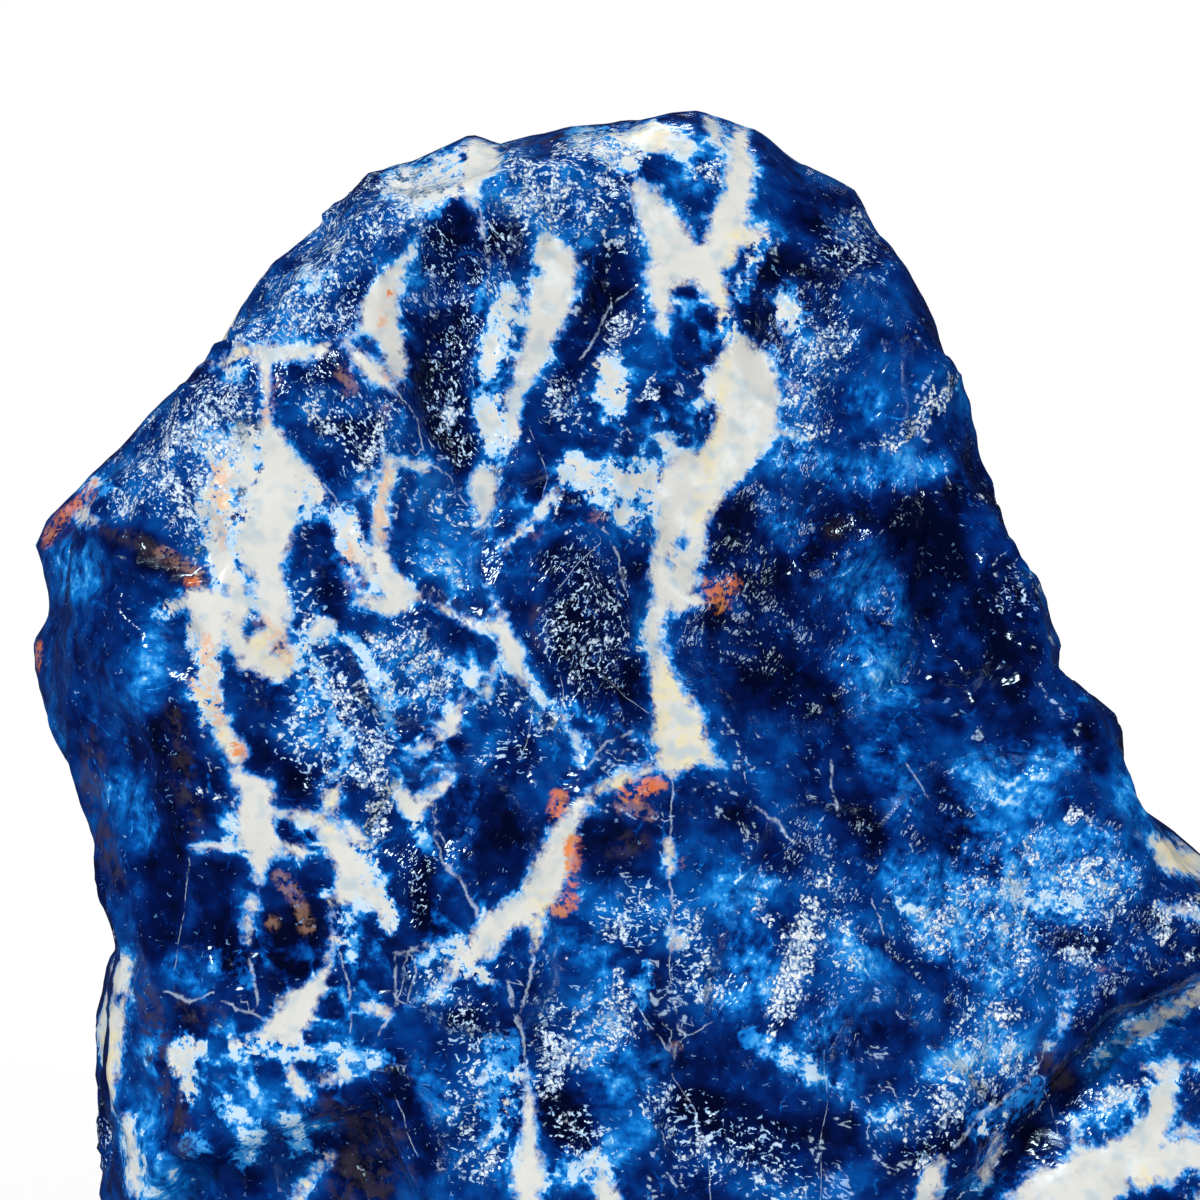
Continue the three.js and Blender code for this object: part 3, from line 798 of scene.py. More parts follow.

# sugary patches where the break glitters: pale broken grains with painted glints over them
sugar_and_glint_patches = [
    # along the top
    [(385, 188, 10), (405, 190, 16), (430, 187, 18), (446, 172, 8)],
    [(410, 212, 12), (418, 228, 5)],
    [(376, 232, 6), (398, 230, 7)],
    [(508, 215, 6), (525, 205, 13), (548, 200, 14), (562, 190, 9)],
    [(528, 172, 8), (535, 180, 8)],
    [(560, 148, 6), (580, 143, 10), (606, 152, 13), (632, 156, 11)],
    [(612, 186, 8), (626, 190, 6)],
    [(710, 172, 10), (718, 166, 8)],
    [(860, 215, 5), (866, 228, 6)],
    [(850, 250, 6), (862, 262, 8), (850, 275, 6)],
    [(845, 232, 5)],
    # between the upper veins
    [(448, 400, 8), (455, 412, 14), (450, 425, 10)],
    [(612, 330, 8), (622, 322, 10), (610, 352, 8)],
    [(556, 398, 9), (563, 405, 8)],
    [(648, 398, 8), (655, 385, 6)],
    [(565, 495, 5), (560, 510, 6)],
    [(572, 538, 6)],
    [(636, 524, 9)],
    [(820, 340, 7), (812, 360, 8), (828, 330, 6)],
    [(785, 400, 5), (800, 395, 7), (810, 380, 6)],
    [(800, 432, 6), (818, 433, 6), (832, 430, 4)],
    [(890, 445, 7), (900, 435, 7), (925, 412, 7), (945, 400, 9), (950, 388, 10)],
    # the facets on the left
    [(165, 450, 10), (190, 430, 14), (215, 410, 10)],
    [(150, 470, 8), (170, 490, 10), (190, 520, 10)],
    [(200, 480, 12), (205, 510, 10)],
    [(310, 400, 8), (330, 430, 8)],
    [(365, 450, 10), (378, 430, 8)],
    [(330, 245, 12), (340, 225, 8)],
    [(310, 270, 8)],
    [(290, 300, 8), (300, 315, 6)],
    # the centre
    [(318, 620, 8), (334, 628, 10), (325, 640, 8)],
    [(372, 640, 12), (395, 650, 10), (385, 670, 8)],
    [(335, 690, 12), (352, 700, 12), (345, 714, 8)],
    [(365, 745, 8), (378, 770, 10), (388, 795, 10), (378, 830, 8)],
    [(355, 760, 8), (362, 780, 8)],
    [(415, 668, 10), (430, 660, 8)],
    [(425, 690, 9), (440, 682, 8)],
    [(555, 612, 8), (570, 602, 7)],
    [(582, 650, 7), (598, 640, 9), (610, 632, 7)],
    [(618, 648, 5), (632, 646, 5)],
    [(202, 788, 5), (212, 796, 8), (222, 802, 6)],
    # low in the middle
    [(831, 868, 3), (824, 880, 6), (818, 898, 9), (812, 915, 12), (804, 938, 20), (798, 960, 18),
     (788, 985, 18), (780, 1010, 13), (774, 1035, 8), (770, 1048, 4)],
    [(762, 906, 6), (764, 918, 7)],
    [(694, 916, 6), (690, 935, 7), (694, 955, 5)],
    [(614, 972, 7), (622, 990, 8), (628, 1003, 5)],
    [(606, 1010, 9), (618, 1025, 14), (608, 1040, 10)],
    [(545, 1035, 10), (560, 1060, 14), (550, 1085, 12), (572, 1040, 10)],
    [(555, 1118, 6), (570, 1128, 8)],
    [(470, 1160, 7), (488, 1168, 8)],
    # low on the right
    [(935, 915, 6), (938, 935, 7), (948, 950, 7)],
    [(965, 890, 7), (980, 882, 9)],
    [(998, 880, 6), (1015, 885, 6)],
    [(998, 920, 8), (1003, 930, 6)],
    [(1022, 940, 8), (1024, 960, 8), (1018, 978, 6)],
    [(1068, 955, 9), (1085, 958, 10)],
    [(1075, 818, 6), (1086, 815, 5)],
    [(1025, 845, 6), (1032, 858, 7)],
    [(1080, 865, 6), (1095, 880, 8), (1112, 892, 8)],
    [(1160, 915, 10), (1170, 920, 12), (1160, 940, 6)],
    [(1192, 958, 9)],
    [(1190, 905, 8), (1200, 900, 8)],
    [(1000, 1015, 10), (1018, 1012, 8)],
    [(1010, 1045, 8), (1008, 1065, 10)],
    [(950, 1065, 7), (952, 1078, 6)],
    [(945, 1100, 12), (960, 1112, 8), (945, 1120, 8)],
    [(975, 1080, 6), (985, 1095, 7)],
    [(1108, 1098, 10), (1125, 1090, 12), (1145, 1085, 6)],
    [(924, 1155, 8), (928, 1168, 7)],
    [(1016, 570, 6)],
    [(1039, 586, 4)],
    [(1046, 640, 4)],
    [(944, 598, 3)],
    [(985, 500, 3), (995, 501, 2)],
    [(208, 452, 12), (228, 446, 16), (248, 436, 12)],
    [(240, 478, 8), (238, 500, 6)],
]

web_zones = [
    [(470, 590, 16), (455, 640, 20), (450, 700, 26), (430, 750, 22), (410, 790, 16)],
    [(495, 540, 14), (530, 515, 18), (570, 485, 22), (620, 480, 24), (650, 510, 18)],
    [(310, 630, 16), (350, 650, 20), (390, 670, 20), (400, 710, 16)],
    [(160, 1050, 18), (200, 1060, 26), (260, 1060, 26), (330, 1070, 26), (385, 1080, 18)],
    [(230, 830, 18), (290, 850, 30), (350, 890, 28), (375, 950, 22), (360, 990, 16)],
    [(260, 940, 16), (300, 960, 22), (330, 1010, 20)],
    [(500, 1130, 18), (530, 1165, 26), (590, 1180, 20)],
    [(690, 300, 14), (690, 350, 18), (690, 400, 22), (660, 450, 18)],
    [(790, 300, 14), (785, 350, 14)],
    [(610, 370, 18), (620, 410, 18)],
    [(380, 280, 14), (395, 330, 14), (405, 380, 8)],
    [(320, 520, 14), (355, 560, 18), (400, 590, 14)],
    [(220, 560, 12), (240, 620, 14), (270, 680, 14), (320, 680, 10)],
    [(1080, 1110, 16), (1120, 1140, 18), (1170, 1080, 14)],
    [(440, 910, 12), (480, 920, 16), (450, 945, 12)],
    [(480, 290, 12), (500, 360, 18), (490, 430, 14)],
    [(590, 700, 14), (600, 740, 14), (640, 740, 10)],
    [(500, 640, 8), (530, 680, 10), (550, 720, 8)],
    [(660, 130, 10), (690, 170, 14)],
]

cream_zones = [
    [(640, 135, 10), (655, 135, 10)],
    [(664, 675, 10), (676, 735, 26), (700, 752, 16)],
    [(218, 475, 10), (216, 512, 10)],
    [(392, 466, 8), (383, 520, 8)],
    [(262, 640, 12), (285, 660, 12)],
    [(198, 686, 12), (229, 741, 9)],
    [(1175, 850, 22)],
    [(540, 905, 12), (537, 934, 8)],
    [(241, 352, 7)],
    [(620, 780, 10), (595, 790, 8)],
    [(331, 798, 12), (313, 847, 8)],
    [(108, 1040, 8), (112, 1090, 8)],
    [(301, 1194, 8), (330, 1159, 8)],
    [(673, 855, 8), (675, 940, 8)],
    [(700, 522, 6), (738, 240, 8)],
    [(1150, 1180, 12)],
]

rust_spots = [
    [(392, 294, 2)],
    [(716, 590, 9), (720, 602, 10)],
    [(728, 592, 4), (735, 582, 5)],
    [(557, 796, 7), (557, 812, 7)],
    [(573, 842, 5), (573, 858, 5), (571, 880, 3)],
    [(558, 908, 7), (568, 902, 6)],
    [(624, 792, 5), (637, 787, 8), (664, 781, 3)],
    [(237, 754, 7)],
    [(191, 583, 4)],
    [(47, 545, 2), (56, 522, 3), (76, 506, 3), (97, 484, 2)],
    [(39, 645, 2), (38, 668, 2)],
]

blush_spots = [
    [(219, 468, 7), (216, 512, 6), (222, 540, 4)],
    [(285, 655, 8), (268, 632, 5)],
    [(388, 470, 5), (383, 505, 6), (386, 540, 4)],
    [(206, 640, 6), (212, 700, 5), (222, 730, 5)],
    [(268, 400, 4), (262, 420, 3)],
    [(345, 370, 6), (352, 388, 5)],
    [(389, 378, 4)],
    [(384, 415, 5)],
    [(272, 382, 6)],
    [(386, 310, 3), (382, 330, 3)],
    [(358, 588, 6), (344, 545, 5)],
    [(262, 621, 6)],
    [(198, 684, 8)],
    [(620, 803, 8), (650, 812, 6)],
    [(676, 862, 5)],
    [(676, 943, 5)],
    [(674, 1048, 4)],
    [(281, 880, 7), (298, 903, 4), (306, 928, 4)],
    [(273, 920, 4)],
    [(386, 1012, 3)],
    [(596, 516, 6)],
    [(534, 530, 5)],
    [(790, 388, 6)],
    [(160, 556, 6), (204, 572, 6)],
    [(1105, 970, 4)],
]

# dusky brown stretches: partly brown rind, partly painted brown reflection on the low left facets that
# face down, and painted shade in the crease under the left ledge
earth_and_reflection_zones = [
    [(108, 532, 4), (132, 541, 5), (158, 555, 6), (183, 570, 6), (207, 586, 5)],
    [(135, 965, 8), (150, 1015, 9), (163, 1075, 10), (178, 1120, 8), (184, 1150, 6)],
    [(175, 1006, 7), (195, 1012, 9), (220, 1020, 6)],
    [(330, 1110, 12), (385, 1140, 18), (350, 1180, 20), (400, 1180, 14)],
    [(90, 740, 8), (100, 820, 8), (115, 880, 6)],
    [(171, 712, 4), (178, 740, 5), (185, 790, 7), (195, 830, 6)],
    [(500, 148, 5), (560, 134, 4), (600, 131, 3)],
    [(1045, 1050, 8), (1060, 1075, 10)],
    [(615, 845, 10), (640, 840, 8)],
    [(829, 534, 3), (842, 529, 3)],
    [(536, 610, 3), (540, 640, 3)],
    [(232, 585, 5), (246, 600, 6), (242, 615, 5)],
]

# stretches where the break runs up to the right, and where it runs down to the right
rising_breaks = [
    [(560, 560, 60), (600, 640, 70)],
    [(420, 660, 40)],
    [(830, 880, 50), (780, 1000, 50)],
    [(830, 350, 50), (800, 600, 100)],
    [(1000, 900, 120), (1100, 1000, 120)],
    [(450, 850, 60), (480, 960, 50)],
]
falling_breaks = [
    [(300, 250, 100), (240, 340, 60)],
    [(340, 430, 50)],
    [(140, 460, 80)],
    [(360, 1150, 60)],
    [(450, 250, 40), (460, 430, 30)],
]

# farther than any stroke reaches, in tenths of a millimetre
off_sheet = 200.0


def stroke_field(right, down, strokes):
    """How far inside the nearest of some strokes each place on the sheet is, below zero
    outside. A stroke's half width runs evenly from one of its points to the next."""
    field = np.full_like(right, -off_sheet)
    for stroke in strokes:
        points = stroke if len(stroke) > 1 else stroke * 2
        for (u0, v0, half0), (u1, v1, half1) in zip(points[:-1], points[1:]):
            along_u, along_v = u1 - u0, v1 - v0
            length = max(along_u * along_u + along_v * along_v, nearly_nothing)
            share = np.clip(((right - u0) * along_u + (down - v0) * along_v) / length, 0, 1)
            gap = np.hypot(right - u0 - share * along_u, down - v0 - share * along_v)
            field = np.maximum(field, half0 + share * (half1 - half0) - gap)
    return field


def thread_fields(right, down, strokes):
    """For the nearest thread: the sideways offset from its middle over its half width, with
    the sign of the side, and the distance to it."""
    nearest = np.full_like(right, off_sheet)
    offset = np.full_like(right, off_sheet)
    for stroke in strokes:
        for (u0, v0, half0), (u1, v1, half1) in zip(stroke[:-1], stroke[1:]):
            along_u, along_v = u1 - u0, v1 - v0
            length = math.hypot(along_u, along_v)
            share = np.clip(((right - u0) * along_u + (down - v0) * along_v) / length ** 2, 0, 1)
            gap = np.hypot(right - u0 - share * along_u, down - v0 - share * along_v)
            side = ((right - u0) * along_v - (down - v0) * along_u) / length
            closer = gap < nearest
            nearest = np.where(closer, gap, nearest)
            offset = np.where(closer, side / (half0 + share * (half1 - half0)), offset)
    return offset, nearest


def facing_normals(points, quads):
    """The outward direction at each point, summed from the faces around it by their areas."""
    corners = points[quads]
    face_areas = np.cross(corners[:, 2] - corners[:, 0], corners[:, 3] - corners[:, 1])
    normals = np.stack([
        np.bincount(quads.ravel(), np.repeat(face_areas[:, axis], 4), len(points))
        for axis in range(3)], axis=1)
    return normals / np.linalg.norm(normals, axis=1, keepdims=True)


# each skin point on the sheet, and how far the drawing there holds: on skin that faces the
# viewer, near the front and on the sheet or just past it
least_facing, full_facing = -0.05, 0.12
drawn_depth, grown_depth = wall_middle - 2, wall_middle + 8
drawn_end, grown_start = 1330, 1420
from_eye = stone_points - eye
sight = from_eye @ -to_viewer
sheet_right = sheet_middle + sheet_scale * view_distance * from_eye[:, 0] / sight
sheet_down = sheet_middle - sheet_scale * view_distance * (from_eye @ view_up) / sight
plain_normals = facing_normals(plain_skin, stone_quads)
faces_viewer = -(plain_normals * from_eye).sum(axis=1) / sight
drawn = fade(least_facing, full_facing, faces_viewer)
drawn *= fade(grown_depth, drawn_depth, stone_points[:, 1])
drawn *= fade(grown_start, drawn_end, np.maximum(sheet_right, sheet_down))

# every stroke wanders a little; each set of lumps has a shift of its own, a size and its octaves
wander_reach, wander_size = 3, 5
wander_u = wander_reach * lump_sum(stone_points + 31, wander_size, 3)
wander_v = wander_reach * lump_sum(stone_points - 47, wander_size, 3)
right, down = sheet_right + wander_u, sheet_down + wander_v

# how much of a soft edge lies inside the stroke
inner_share = 0.3


def drawn_or_grown(strokes, grown, soft, wander=1):
    """A zone's weight from 0 to 1: strokes with a soft edge, wandering by a share, where the
    drawing holds, and a value grown through the stone elsewhere."""
    inside = stroke_field(sheet_right + wander * wander_u, sheet_down + wander * wander_v, strokes)
    return drawn * fade(-soft, soft * inner_share, inside) + (1 - drawn) * grown


# pale webs that run between dark cells
web_cell, web_bend, web_bend_size = 3.6, 0.9, 2.8
bend_fine = np.stack(
    [lump_sum(stone_points + shift, web_bend_size, 2) for shift in (11, 67, 127)], axis=1)
nearest_cell, second_cell = nearest_places((stone_points + web_bend * bend_fine) / web_cell)

# veins grown through the stone where it isn't drawn: sheets near the zero of slow lumps
bend_reach, bend_size, swell_period = 7, 20, 22
bend = np.stack([lump_sum(stone_points + shift, bend_size, 3) for shift in (5, 57, 113)], axis=1)
bent_points = stone_points + bend_reach * bend
swell = lump_sum(stone_points + 211, swell_period, 2)
grown_vein = np.full(len(stone_points), -np.inf)
for stretch, shift, spacing, steepness, half_width, swelling in (
        ([1, 1, 0.6], 71, 34, 90, 10, 26), ([0.7, 1, 1], -29, 40, 100, 4, 20)):
    sheet_gap = np.abs(lump_sum(bent_points * stretch + shift, spacing, 2)) * steepness
    grown_vein = np.maximum(grown_vein, half_width + swelling * swell - sheet_gap)
slow, other = lump_sum(bent_points + 301, 17, 3), lump_sum(bent_points - 263, 13, 3)

lobe_height, lobe_size = 2.4, 2.6
lobes = lobe_height * lump_sum(stone_points - 91, lobe_size, 2)
vein = stroke_field(right, down, white_veins)
vein = np.minimum(vein, -stroke_field(right, down, blue_islands))
vein = drawn * vein + (1 - drawn) * grown_vein + lobes
# sugary patches, pale broken grains with painted glints, grown through the stone where none is drawn
grown_sugar_and_glint = 20 * lump_sum(bent_points + 503, 6, 2) - 9
sugar_and_glint = drawn * stroke_field(right, down, sugar_and_glint_patches) + (1 - drawn) * grown_sugar_and_glint
thread_offset, thread_gap = thread_fields(right, down, threads)
crack_spacing = 9
cracks = crack_spacing * lump_sum(bent_points + 401, crack_spacing, 2)
rising = drawn_or_grown(rising_breaks, fade(-0.2, 0.4, slow), 30)
falling = drawn_or_grown(falling_breaks, fade(-0.2, 0.4, -slow), 30)

# the least and most of each distance that is kept, and how far off threads are where none is drawn
vein_span, sugar_and_glint_span, thread_span, crack_span = (-80, 40), (-30, 20), (-8, 8), (-6, 6)
thread_gap_most, no_thread = 60, 6
stone_fields = {
    "vein": np.clip(vein, *vein_span) / sheet_scale,
    "thread": np.clip(thread_offset, *thread_span),
    "thread_gap": np.clip(thread_gap, 0, thread_gap_most) / sheet_scale + no_thread * (1 - drawn),
    "crack": np.clip(cracks, *crack_span),
    "pale": drawn_or_grown(pale_zones, fade(0.5, 1.0, slow) * 0.8, 12, 2),
    "web_gap": np.sqrt(second_cell) - np.sqrt(nearest_cell),
    "web": drawn_or_grown(web_zones, fade(0.2, 0.9, slow), 18, 2),
    "azure": drawn_or_grown(azure_zones, fade(0.1, 0.9, other), 20, 3),
    # dark: the stone's own black-blue, and painted shade in the grooves, the crease, the right-hand rim
    # and the fissure
    "dark_and_shade": drawn_or_grown(dark_and_shade_zones, fade(0.0, 0.8, -slow), 16, 3),
    "glint": drawn_or_grown(glint_zones, fade(0.1, 0.7, -other) * 0.8, 22, 3),
    # sugar: patches of pale broken grains with painted glints
    "sugar_and_glint": np.clip(sugar_and_glint, *sugar_and_glint_span) / sheet_scale,
    "cream": drawn_or_grown(cream_zones, fade(0.2, 0.8, swell), 8),
    "rust": drawn_or_grown(rust_spots, fade(1.2, 1.5, slow + swell), 10),
    "blush": drawn_or_grown(blush_spots, fade(1.0, 1.4, other + swell), 10),
    # earth: dusky rind, and painted brown reflection and shade
    "earth_and_reflection": drawn_or_grown(earth_and_reflection_zones, fade(0.7, 1.3, slow - other), 8),
    "lean": rising - falling,
    "cloud": lump_sum(bent_points + 37, 5, 3),
}

# --- The hackly break ----------------------------------------------------------------------------
# Sodalite breaks unevenly: small scoops and short rows of splinters cover the large faces,
# roughest where the break glints and calmest on the white fill, which lies a little lower.

fine_scoops = [(3.6, 0.8), (2.5, 0.3)]
row_size, row_depth = (7, 2.2, 2.0), 0.5
rising_angle, falling_angle = 58, -60
fill_drop, foot_start, foot_end = 0.18, 0.4, 3
crumple_reach, crumple_size = 0.5, 2.4
plain_rough, glint_rough, fill_calm, widest_rough = 0.6, 0.6, 0.4, 0.3
calm_edge, drop_edge = (0, 0.8), (-0.3, 0.4)


def splinter_rows(points, angle):
    """Lumps drawn out along one direction in the front view, at an angle above level."""
    turn = math.radians(angle)
    along = points[:, 0] * math.cos(turn) + points[:, 2] * math.sin(turn)
    across = points[:, 2] * math.cos(turn) - points[:, 0] * math.sin(turn)
    rows = np.stack([along, across, points[:, 1]], axis=1)
    return lump_sum(rows / row_size, 1, 2)


rising_rows = splinter_rows(stone_points, rising_angle)
falling_rows = splinter_rows(stone_points, falling_angle)
rows = np.where(stone_fields["lean"] > 0, rising_rows, falling_rows)
crumpled = stone_points + crumple_reach * np.stack(
    [lump_sum(stone_points + shift, crumple_size, 1) for shift in (17, 83, 149)], axis=1)
rough = plain_rough + glint_rough * stone_fields["glint"]
rough -= fill_calm * fade(*calm_edge, stone_fields["vein"])
lift = row_depth * rows
for size, scoop_depth in fine_scoops:
    lift -= scoop_depth * (middle_scoop - scoop_value(crumpled / size))
lift = lift * rough - fill_drop * fade(*drop_edge, stone_fields["vein"])
lift *= fade(foot_start, foot_end, stone_points[:, 2])
past_widest = fade(middle_start, middle_end, np.abs(behind_widest(stone_points)))
lift *= widest_rough + (1 - widest_rough) * past_widest
stone_points = stone_points + facing_normals(stone_points, stone_quads) * lift[:, None]

stone_mesh = bpy.data.meshes.new("rough_sodalite_lump")
stone_mesh.from_pydata((stone_points * MM).tolist(), [], stone_quads.tolist())
stone_mesh.polygons.foreach_set("use_smooth", np.ones(len(stone_quads), dtype=bool))
for name, values in stone_fields.items():
    attribute = stone_mesh.attributes.new(name, "FLOAT", "POINT")
    attribute.data.foreach_set("value", values.astype(np.float32))
stone = bpy.data.objects.new("rough_sodalite_lump", stone_mesh)
bpy.context.collection.objects.link(stone)

# --- The finish of the stone ---------------------------------------------------------------------
# Blue sodalite with a wet gloss, black-blue in its dark stretches and azure where it is clouded; the
# dark stretches also carry painted shade in the grooves, under the left ledge, on the right-hand rim
# and in the fissure low on the right. An opaque white fill with a lobed, grainy edge lies in its old
# cracks, stained with rust, and where the break is sugary it is crowded with netted silver grains,
# which are pale broken grains with painted glints over them, and with bright flakes, which are
# painted highlights. Dusky brown stretches are partly rind and partly painted brown reflection and shade.

# sizes in millimetres: lumps that wander through the blue, and the grains that they bend
lump_size, lump_roughness, lump_bend = 1.4, 0.66, 1.6
grain_size, swell_size = 0.38, 1.7
# how streaks and the rows of painted glints in sugary patches are drawn out: along them, into the stone
# and across
streak_shape, glint_row_shape = (1.1, 0.55, 0.5), (3.0, 1.0, 1.0)

# the blue along its tone, from black-blue, which also serves as painted shade, to where it is milky
blue_stops = [
    (0.0, (0.0002, 0.0015, 0.017)),
    (0.18, (0.0003, 0.0054, 0.062)),
    (0.34, (0.0004, 0.0195, 0.148)),
    (0.50, (0.0006, 0.056, 0.275)),
    (0.64, (0.0020, 0.120, 0.460)),
    (0.76, (0.010, 0.215, 0.630)),
    (0.88, (0.075, 0.350, 0.735)),
    (1.0, (0.470, 0.640, 0.800)),
]
# dusky brown for the rind and for painted brown reflection and shade
dusky_earth_and_reflection = (0.045, 0.035, 0.045, 1)
thread_side, thread_heart = (0.12, 0.28, 0.62, 1), (0.48, 0.58, 0.72, 1)
white_fill, cream_fill = (0.63, 0.63, 0.595, 1), (0.70, 0.63, 0.42, 1)
glassy_fill, chalky_fill = (0.46, 0.53, 0.56, 1), (0.53, 0.51, 0.43, 1)
thin_rust, thick_rust, peach = (0.62, 0.24, 0.07, 1), (0.82, 0.20, 0.03, 1), (0.68, 0.38, 0.24, 1)
# the silver grains: pale broken grains, partly painted glint
glint_grain_side, glint_grain_top = (0.17, 0.31, 0.54, 1), (0.74, 0.79, 0.83, 1)
# colours of the bright flakes, which are painted highlights
glint_flake_side, glint_flake_top = (0.14, 0.34, 0.66, 1), (0.60, 0.76, 0.90, 1)
gloss_tint = (0.62, 0.84, 1.0, 1)
gloss_bending, gloss_level = 1.49, 0.35
blue_roughness, fill_roughness = 0.13, 0.29

sodalite = bpy.data.materials.new("sodalite")
sodalite.use_nodes = True
tree = sodalite.node_tree
tree.nodes.clear()


def node(kind, **settings):
    """A node of the finish. Settings that name a socket link it or set its value, with
    spaces written as underscores, and the rest are the node's own properties."""
    made = tree.nodes.new("ShaderNode" + kind)
    own = {key: value for key, value in settings.items() if hasattr(made, key)}
    for key, value in own.items():
        setattr(made, key, value)
    for key, value in settings.items():
        if key in own:
            continue
        socket = made.inputs[int(key[1:])] if key[1:].isdigit() else made.inputs[key.replace("_", " ")]
        if isinstance(value, bpy.types.NodeSocket):
            tree.links.new(value, socket)
        else:
            socket.default_value = value
    return made


def math_of(operation, first, second=0.0, third=0.0):
    """One sum of the finish, on numbers or on the outputs of nodes."""
    return node("Math", operation=operation, i0=first, i1=second, i2=third).outputs[0]


def scaled(value, factor, more=0.0):
    """A value times a factor, with some more added."""
    return math_of("MULTIPLY_ADD", value, factor, more)


def added(first, *others):
    """The sum of several values."""
    for other in others:
        first = math_of("ADD", first, other)
    return first


def about_zero(value, height):
    """A 0 to 1 value turned into one that swings about zero by a height."""
    return scaled(math_of("SUBTRACT", value, 0.5), height)


def field(name):
    """A field of the skin, read back from the mesh."""
    return node("Attribute", attribute_name=name).outputs["Fac"]


def step_between(value, low, high):
    """Zero before low and one past high, with a smooth step between."""
    ranged = node("MapRange", interpolation_type="SMOOTHSTEP", Value=value, From_Min=low, From_Max=high)
    return ranged.outputs["Result"]


def mixed(share, first, second):
    """Two colours, mixed by a share."""
    made = tree.nodes.new("ShaderNodeMix")
    made.data_type = "RGBA"
    for index, value in ((0, share), (6, first), (7, second)):
        if isinstance(value, bpy.types.NodeSocket):
            tree.links.new(value, made.inputs[index])
        else:
            made.inputs[index].default_value = value
    return made.outputs[2]


object_place = node("TexCoord").outputs["Object"]
place = node("VectorMath", operation="MULTIPLY", i0=object_place, i1=(1 / MM, 1 / MM, 1 / MM)).outputs[0]
lumps = node("TexNoise", Vector=place, Scale=1 / lump_size, Detail=3.0,
             Roughness=lump_roughness).outputs["Color"]
lumps_split = node("SeparateColor", Color=lumps)
lump_one, lump_two, lump_three = (lumps_split.outputs[index] for index in range(3))
warped = node("VectorMath", operation="MULTIPLY_ADD", i0=lumps, i1=(lump_bend, lump_bend, lump_bend),
              i2=place).outputs[0]

grains = node("TexVoronoi", Vector=warped, Scale=1 / grain_size)
grain_colour = grains.outputs["Color"]
grain_split = node("SeparateColor", Color=grain_colour)
grain_share, grain_other = grain_split.outputs[0], grain_split.outputs[1]


def drawn_out(angle, shape):
    """The place, drawn out along a direction of the front view."""
    return node("Mapping", vector_type="TEXTURE", Vector=place,
                Rotation=(0, math.radians(-angle), 0), Scale=shape).outputs[0]


leaning = step_between(field("lean"), -0.2, 0.2)
streak_place = node("Mix", data_type="VECTOR", i0=leaning, i4=drawn_out(falling_angle, streak_shape),
                    i5=drawn_out(rising_angle, streak_shape)).outputs[1]
streak = node("TexNoise", Vector=streak_place, Scale=1.0, Detail=1.0, Roughness=0.55).outputs["Fac"]
swells = node("TexNoise", Vector=place, Scale=1 / swell_size, Detail=1.0, Roughness=0.5).outputs["Fac"]

# pale webs between dark cells, and the edge of the white fill, ragged where the blue is milky
glint, dark_and_shade, azure, pale = field("glint"), field("dark_and_shade"), field("azure"), field("pale")
web = step_between(added(field("web_gap"), about_zero(lump_one, 0.5)), 0.2, 0.0)
web = scaled(web, field("web"))
edge_noise = added(about_zero(lump_one, 2.8), about_zero(grain_share, 0.5), about_zero(streak, 1.0))
ragged = scaled(edge_noise, scaled(pale, 2.4, 0.7), field("vein"))
ragged = added(ragged, scaled(pale, 0.35), scaled(web, 0.5))

# the tone of the blue: what lightens or darkens it, each with its strength
lively = scaled(azure, 0.9, 0.18)
soaked = added(pale, about_zero(lump_three, 2.6), about_zero(grain_other, 0.5))
rim = scaled(step_between(ragged, -0.6, 0.05), step_between(lump_three, 0.3, 0.6))
crack = math_of("ABSOLUTE", added(field("crack"), about_zero(lump_two, 1.2)))
crack = scaled(step_between(crack, 0.22, 0.04), step_between(lump_three, 0.45, 0.62))
tone = 0.325
for lightening, strength in (
        (azure, 0.28),
        # dark stretches darken it, partly the stone's own black-blue and partly painted shade
        (dark_and_shade, -0.24),
        (field("cloud"), 0.20),
        (glint, scaled(dark_and_shade, -0.14, 0.14)),
        (about_zero(swells, 0.45), 1.0),
        (about_zero(lump_two, 1.1), lively),
        (about_zero(streak, 0.5), lively),
        (step_between(soaked, 0.3, 1.1), 0.54),
        (step_between(ragged, -1.4, 0.1), 0.08),
        (rim, 0.45),
        (scaled(web, step_between(lump_three, 0.25, 0.6)), 0.55),
        (crack, 0.25)):
    tone = scaled(lightening, strength, tone)
blue_ramp = node("ValToRGB", Fac=tone)
ramp = blue_ramp.color_ramp
while len(ramp.elements) < len(blue_stops):
    ramp.elements.new(0.5)
for element, (position, stop_colour) in zip(ramp.elements, blue_stops):
    element.position = position
    element.color = (*stop_colour, 1)
colour = blue_ramp.outputs["Color"]

# dusky stretches, partly brown rind and partly painted brown reflection and shade, threads and the white
# fill
earth_and_reflection = scaled(field("earth_and_reflection"), step_between(lump_one, 0.42, 0.62))
colour = mixed(scaled(earth_and_reflection, 0.6), colour, dusky_earth_and_reflection)
thread_middle = math_of("ABSOLUTE", added(field("thread"), about_zero(lump_two, 3.6)))
thread_line = scaled(step_between(thread_middle, 0.75, 0.15), step_between(field("thread_gap"), 1.2, 0.8))
thread_line = scaled(thread_line, step_between(lump_three, 0.36, 0.58))
thread_colour = mixed(step_between(thread_middle, 0.9, 0.1), thread_side, thread_heart)
colour = mixed(scaled(thread_line, 0.58), colour, thread_colour)
white = step_between(ragged, -0.2, 0.75)
cream = scaled(field("cream"), step_between(lump_two, 0.35, 0.6))
fill = mixed(cream, white_fill, cream_fill)
fill = mixed(step_between(swells, 0.45, 0.75), fill, glassy_fill)
fill = mixed(step_between(lump_two, 0.6, 0.85), fill, chalky_fill)
colour = mixed(white, colour, fill)

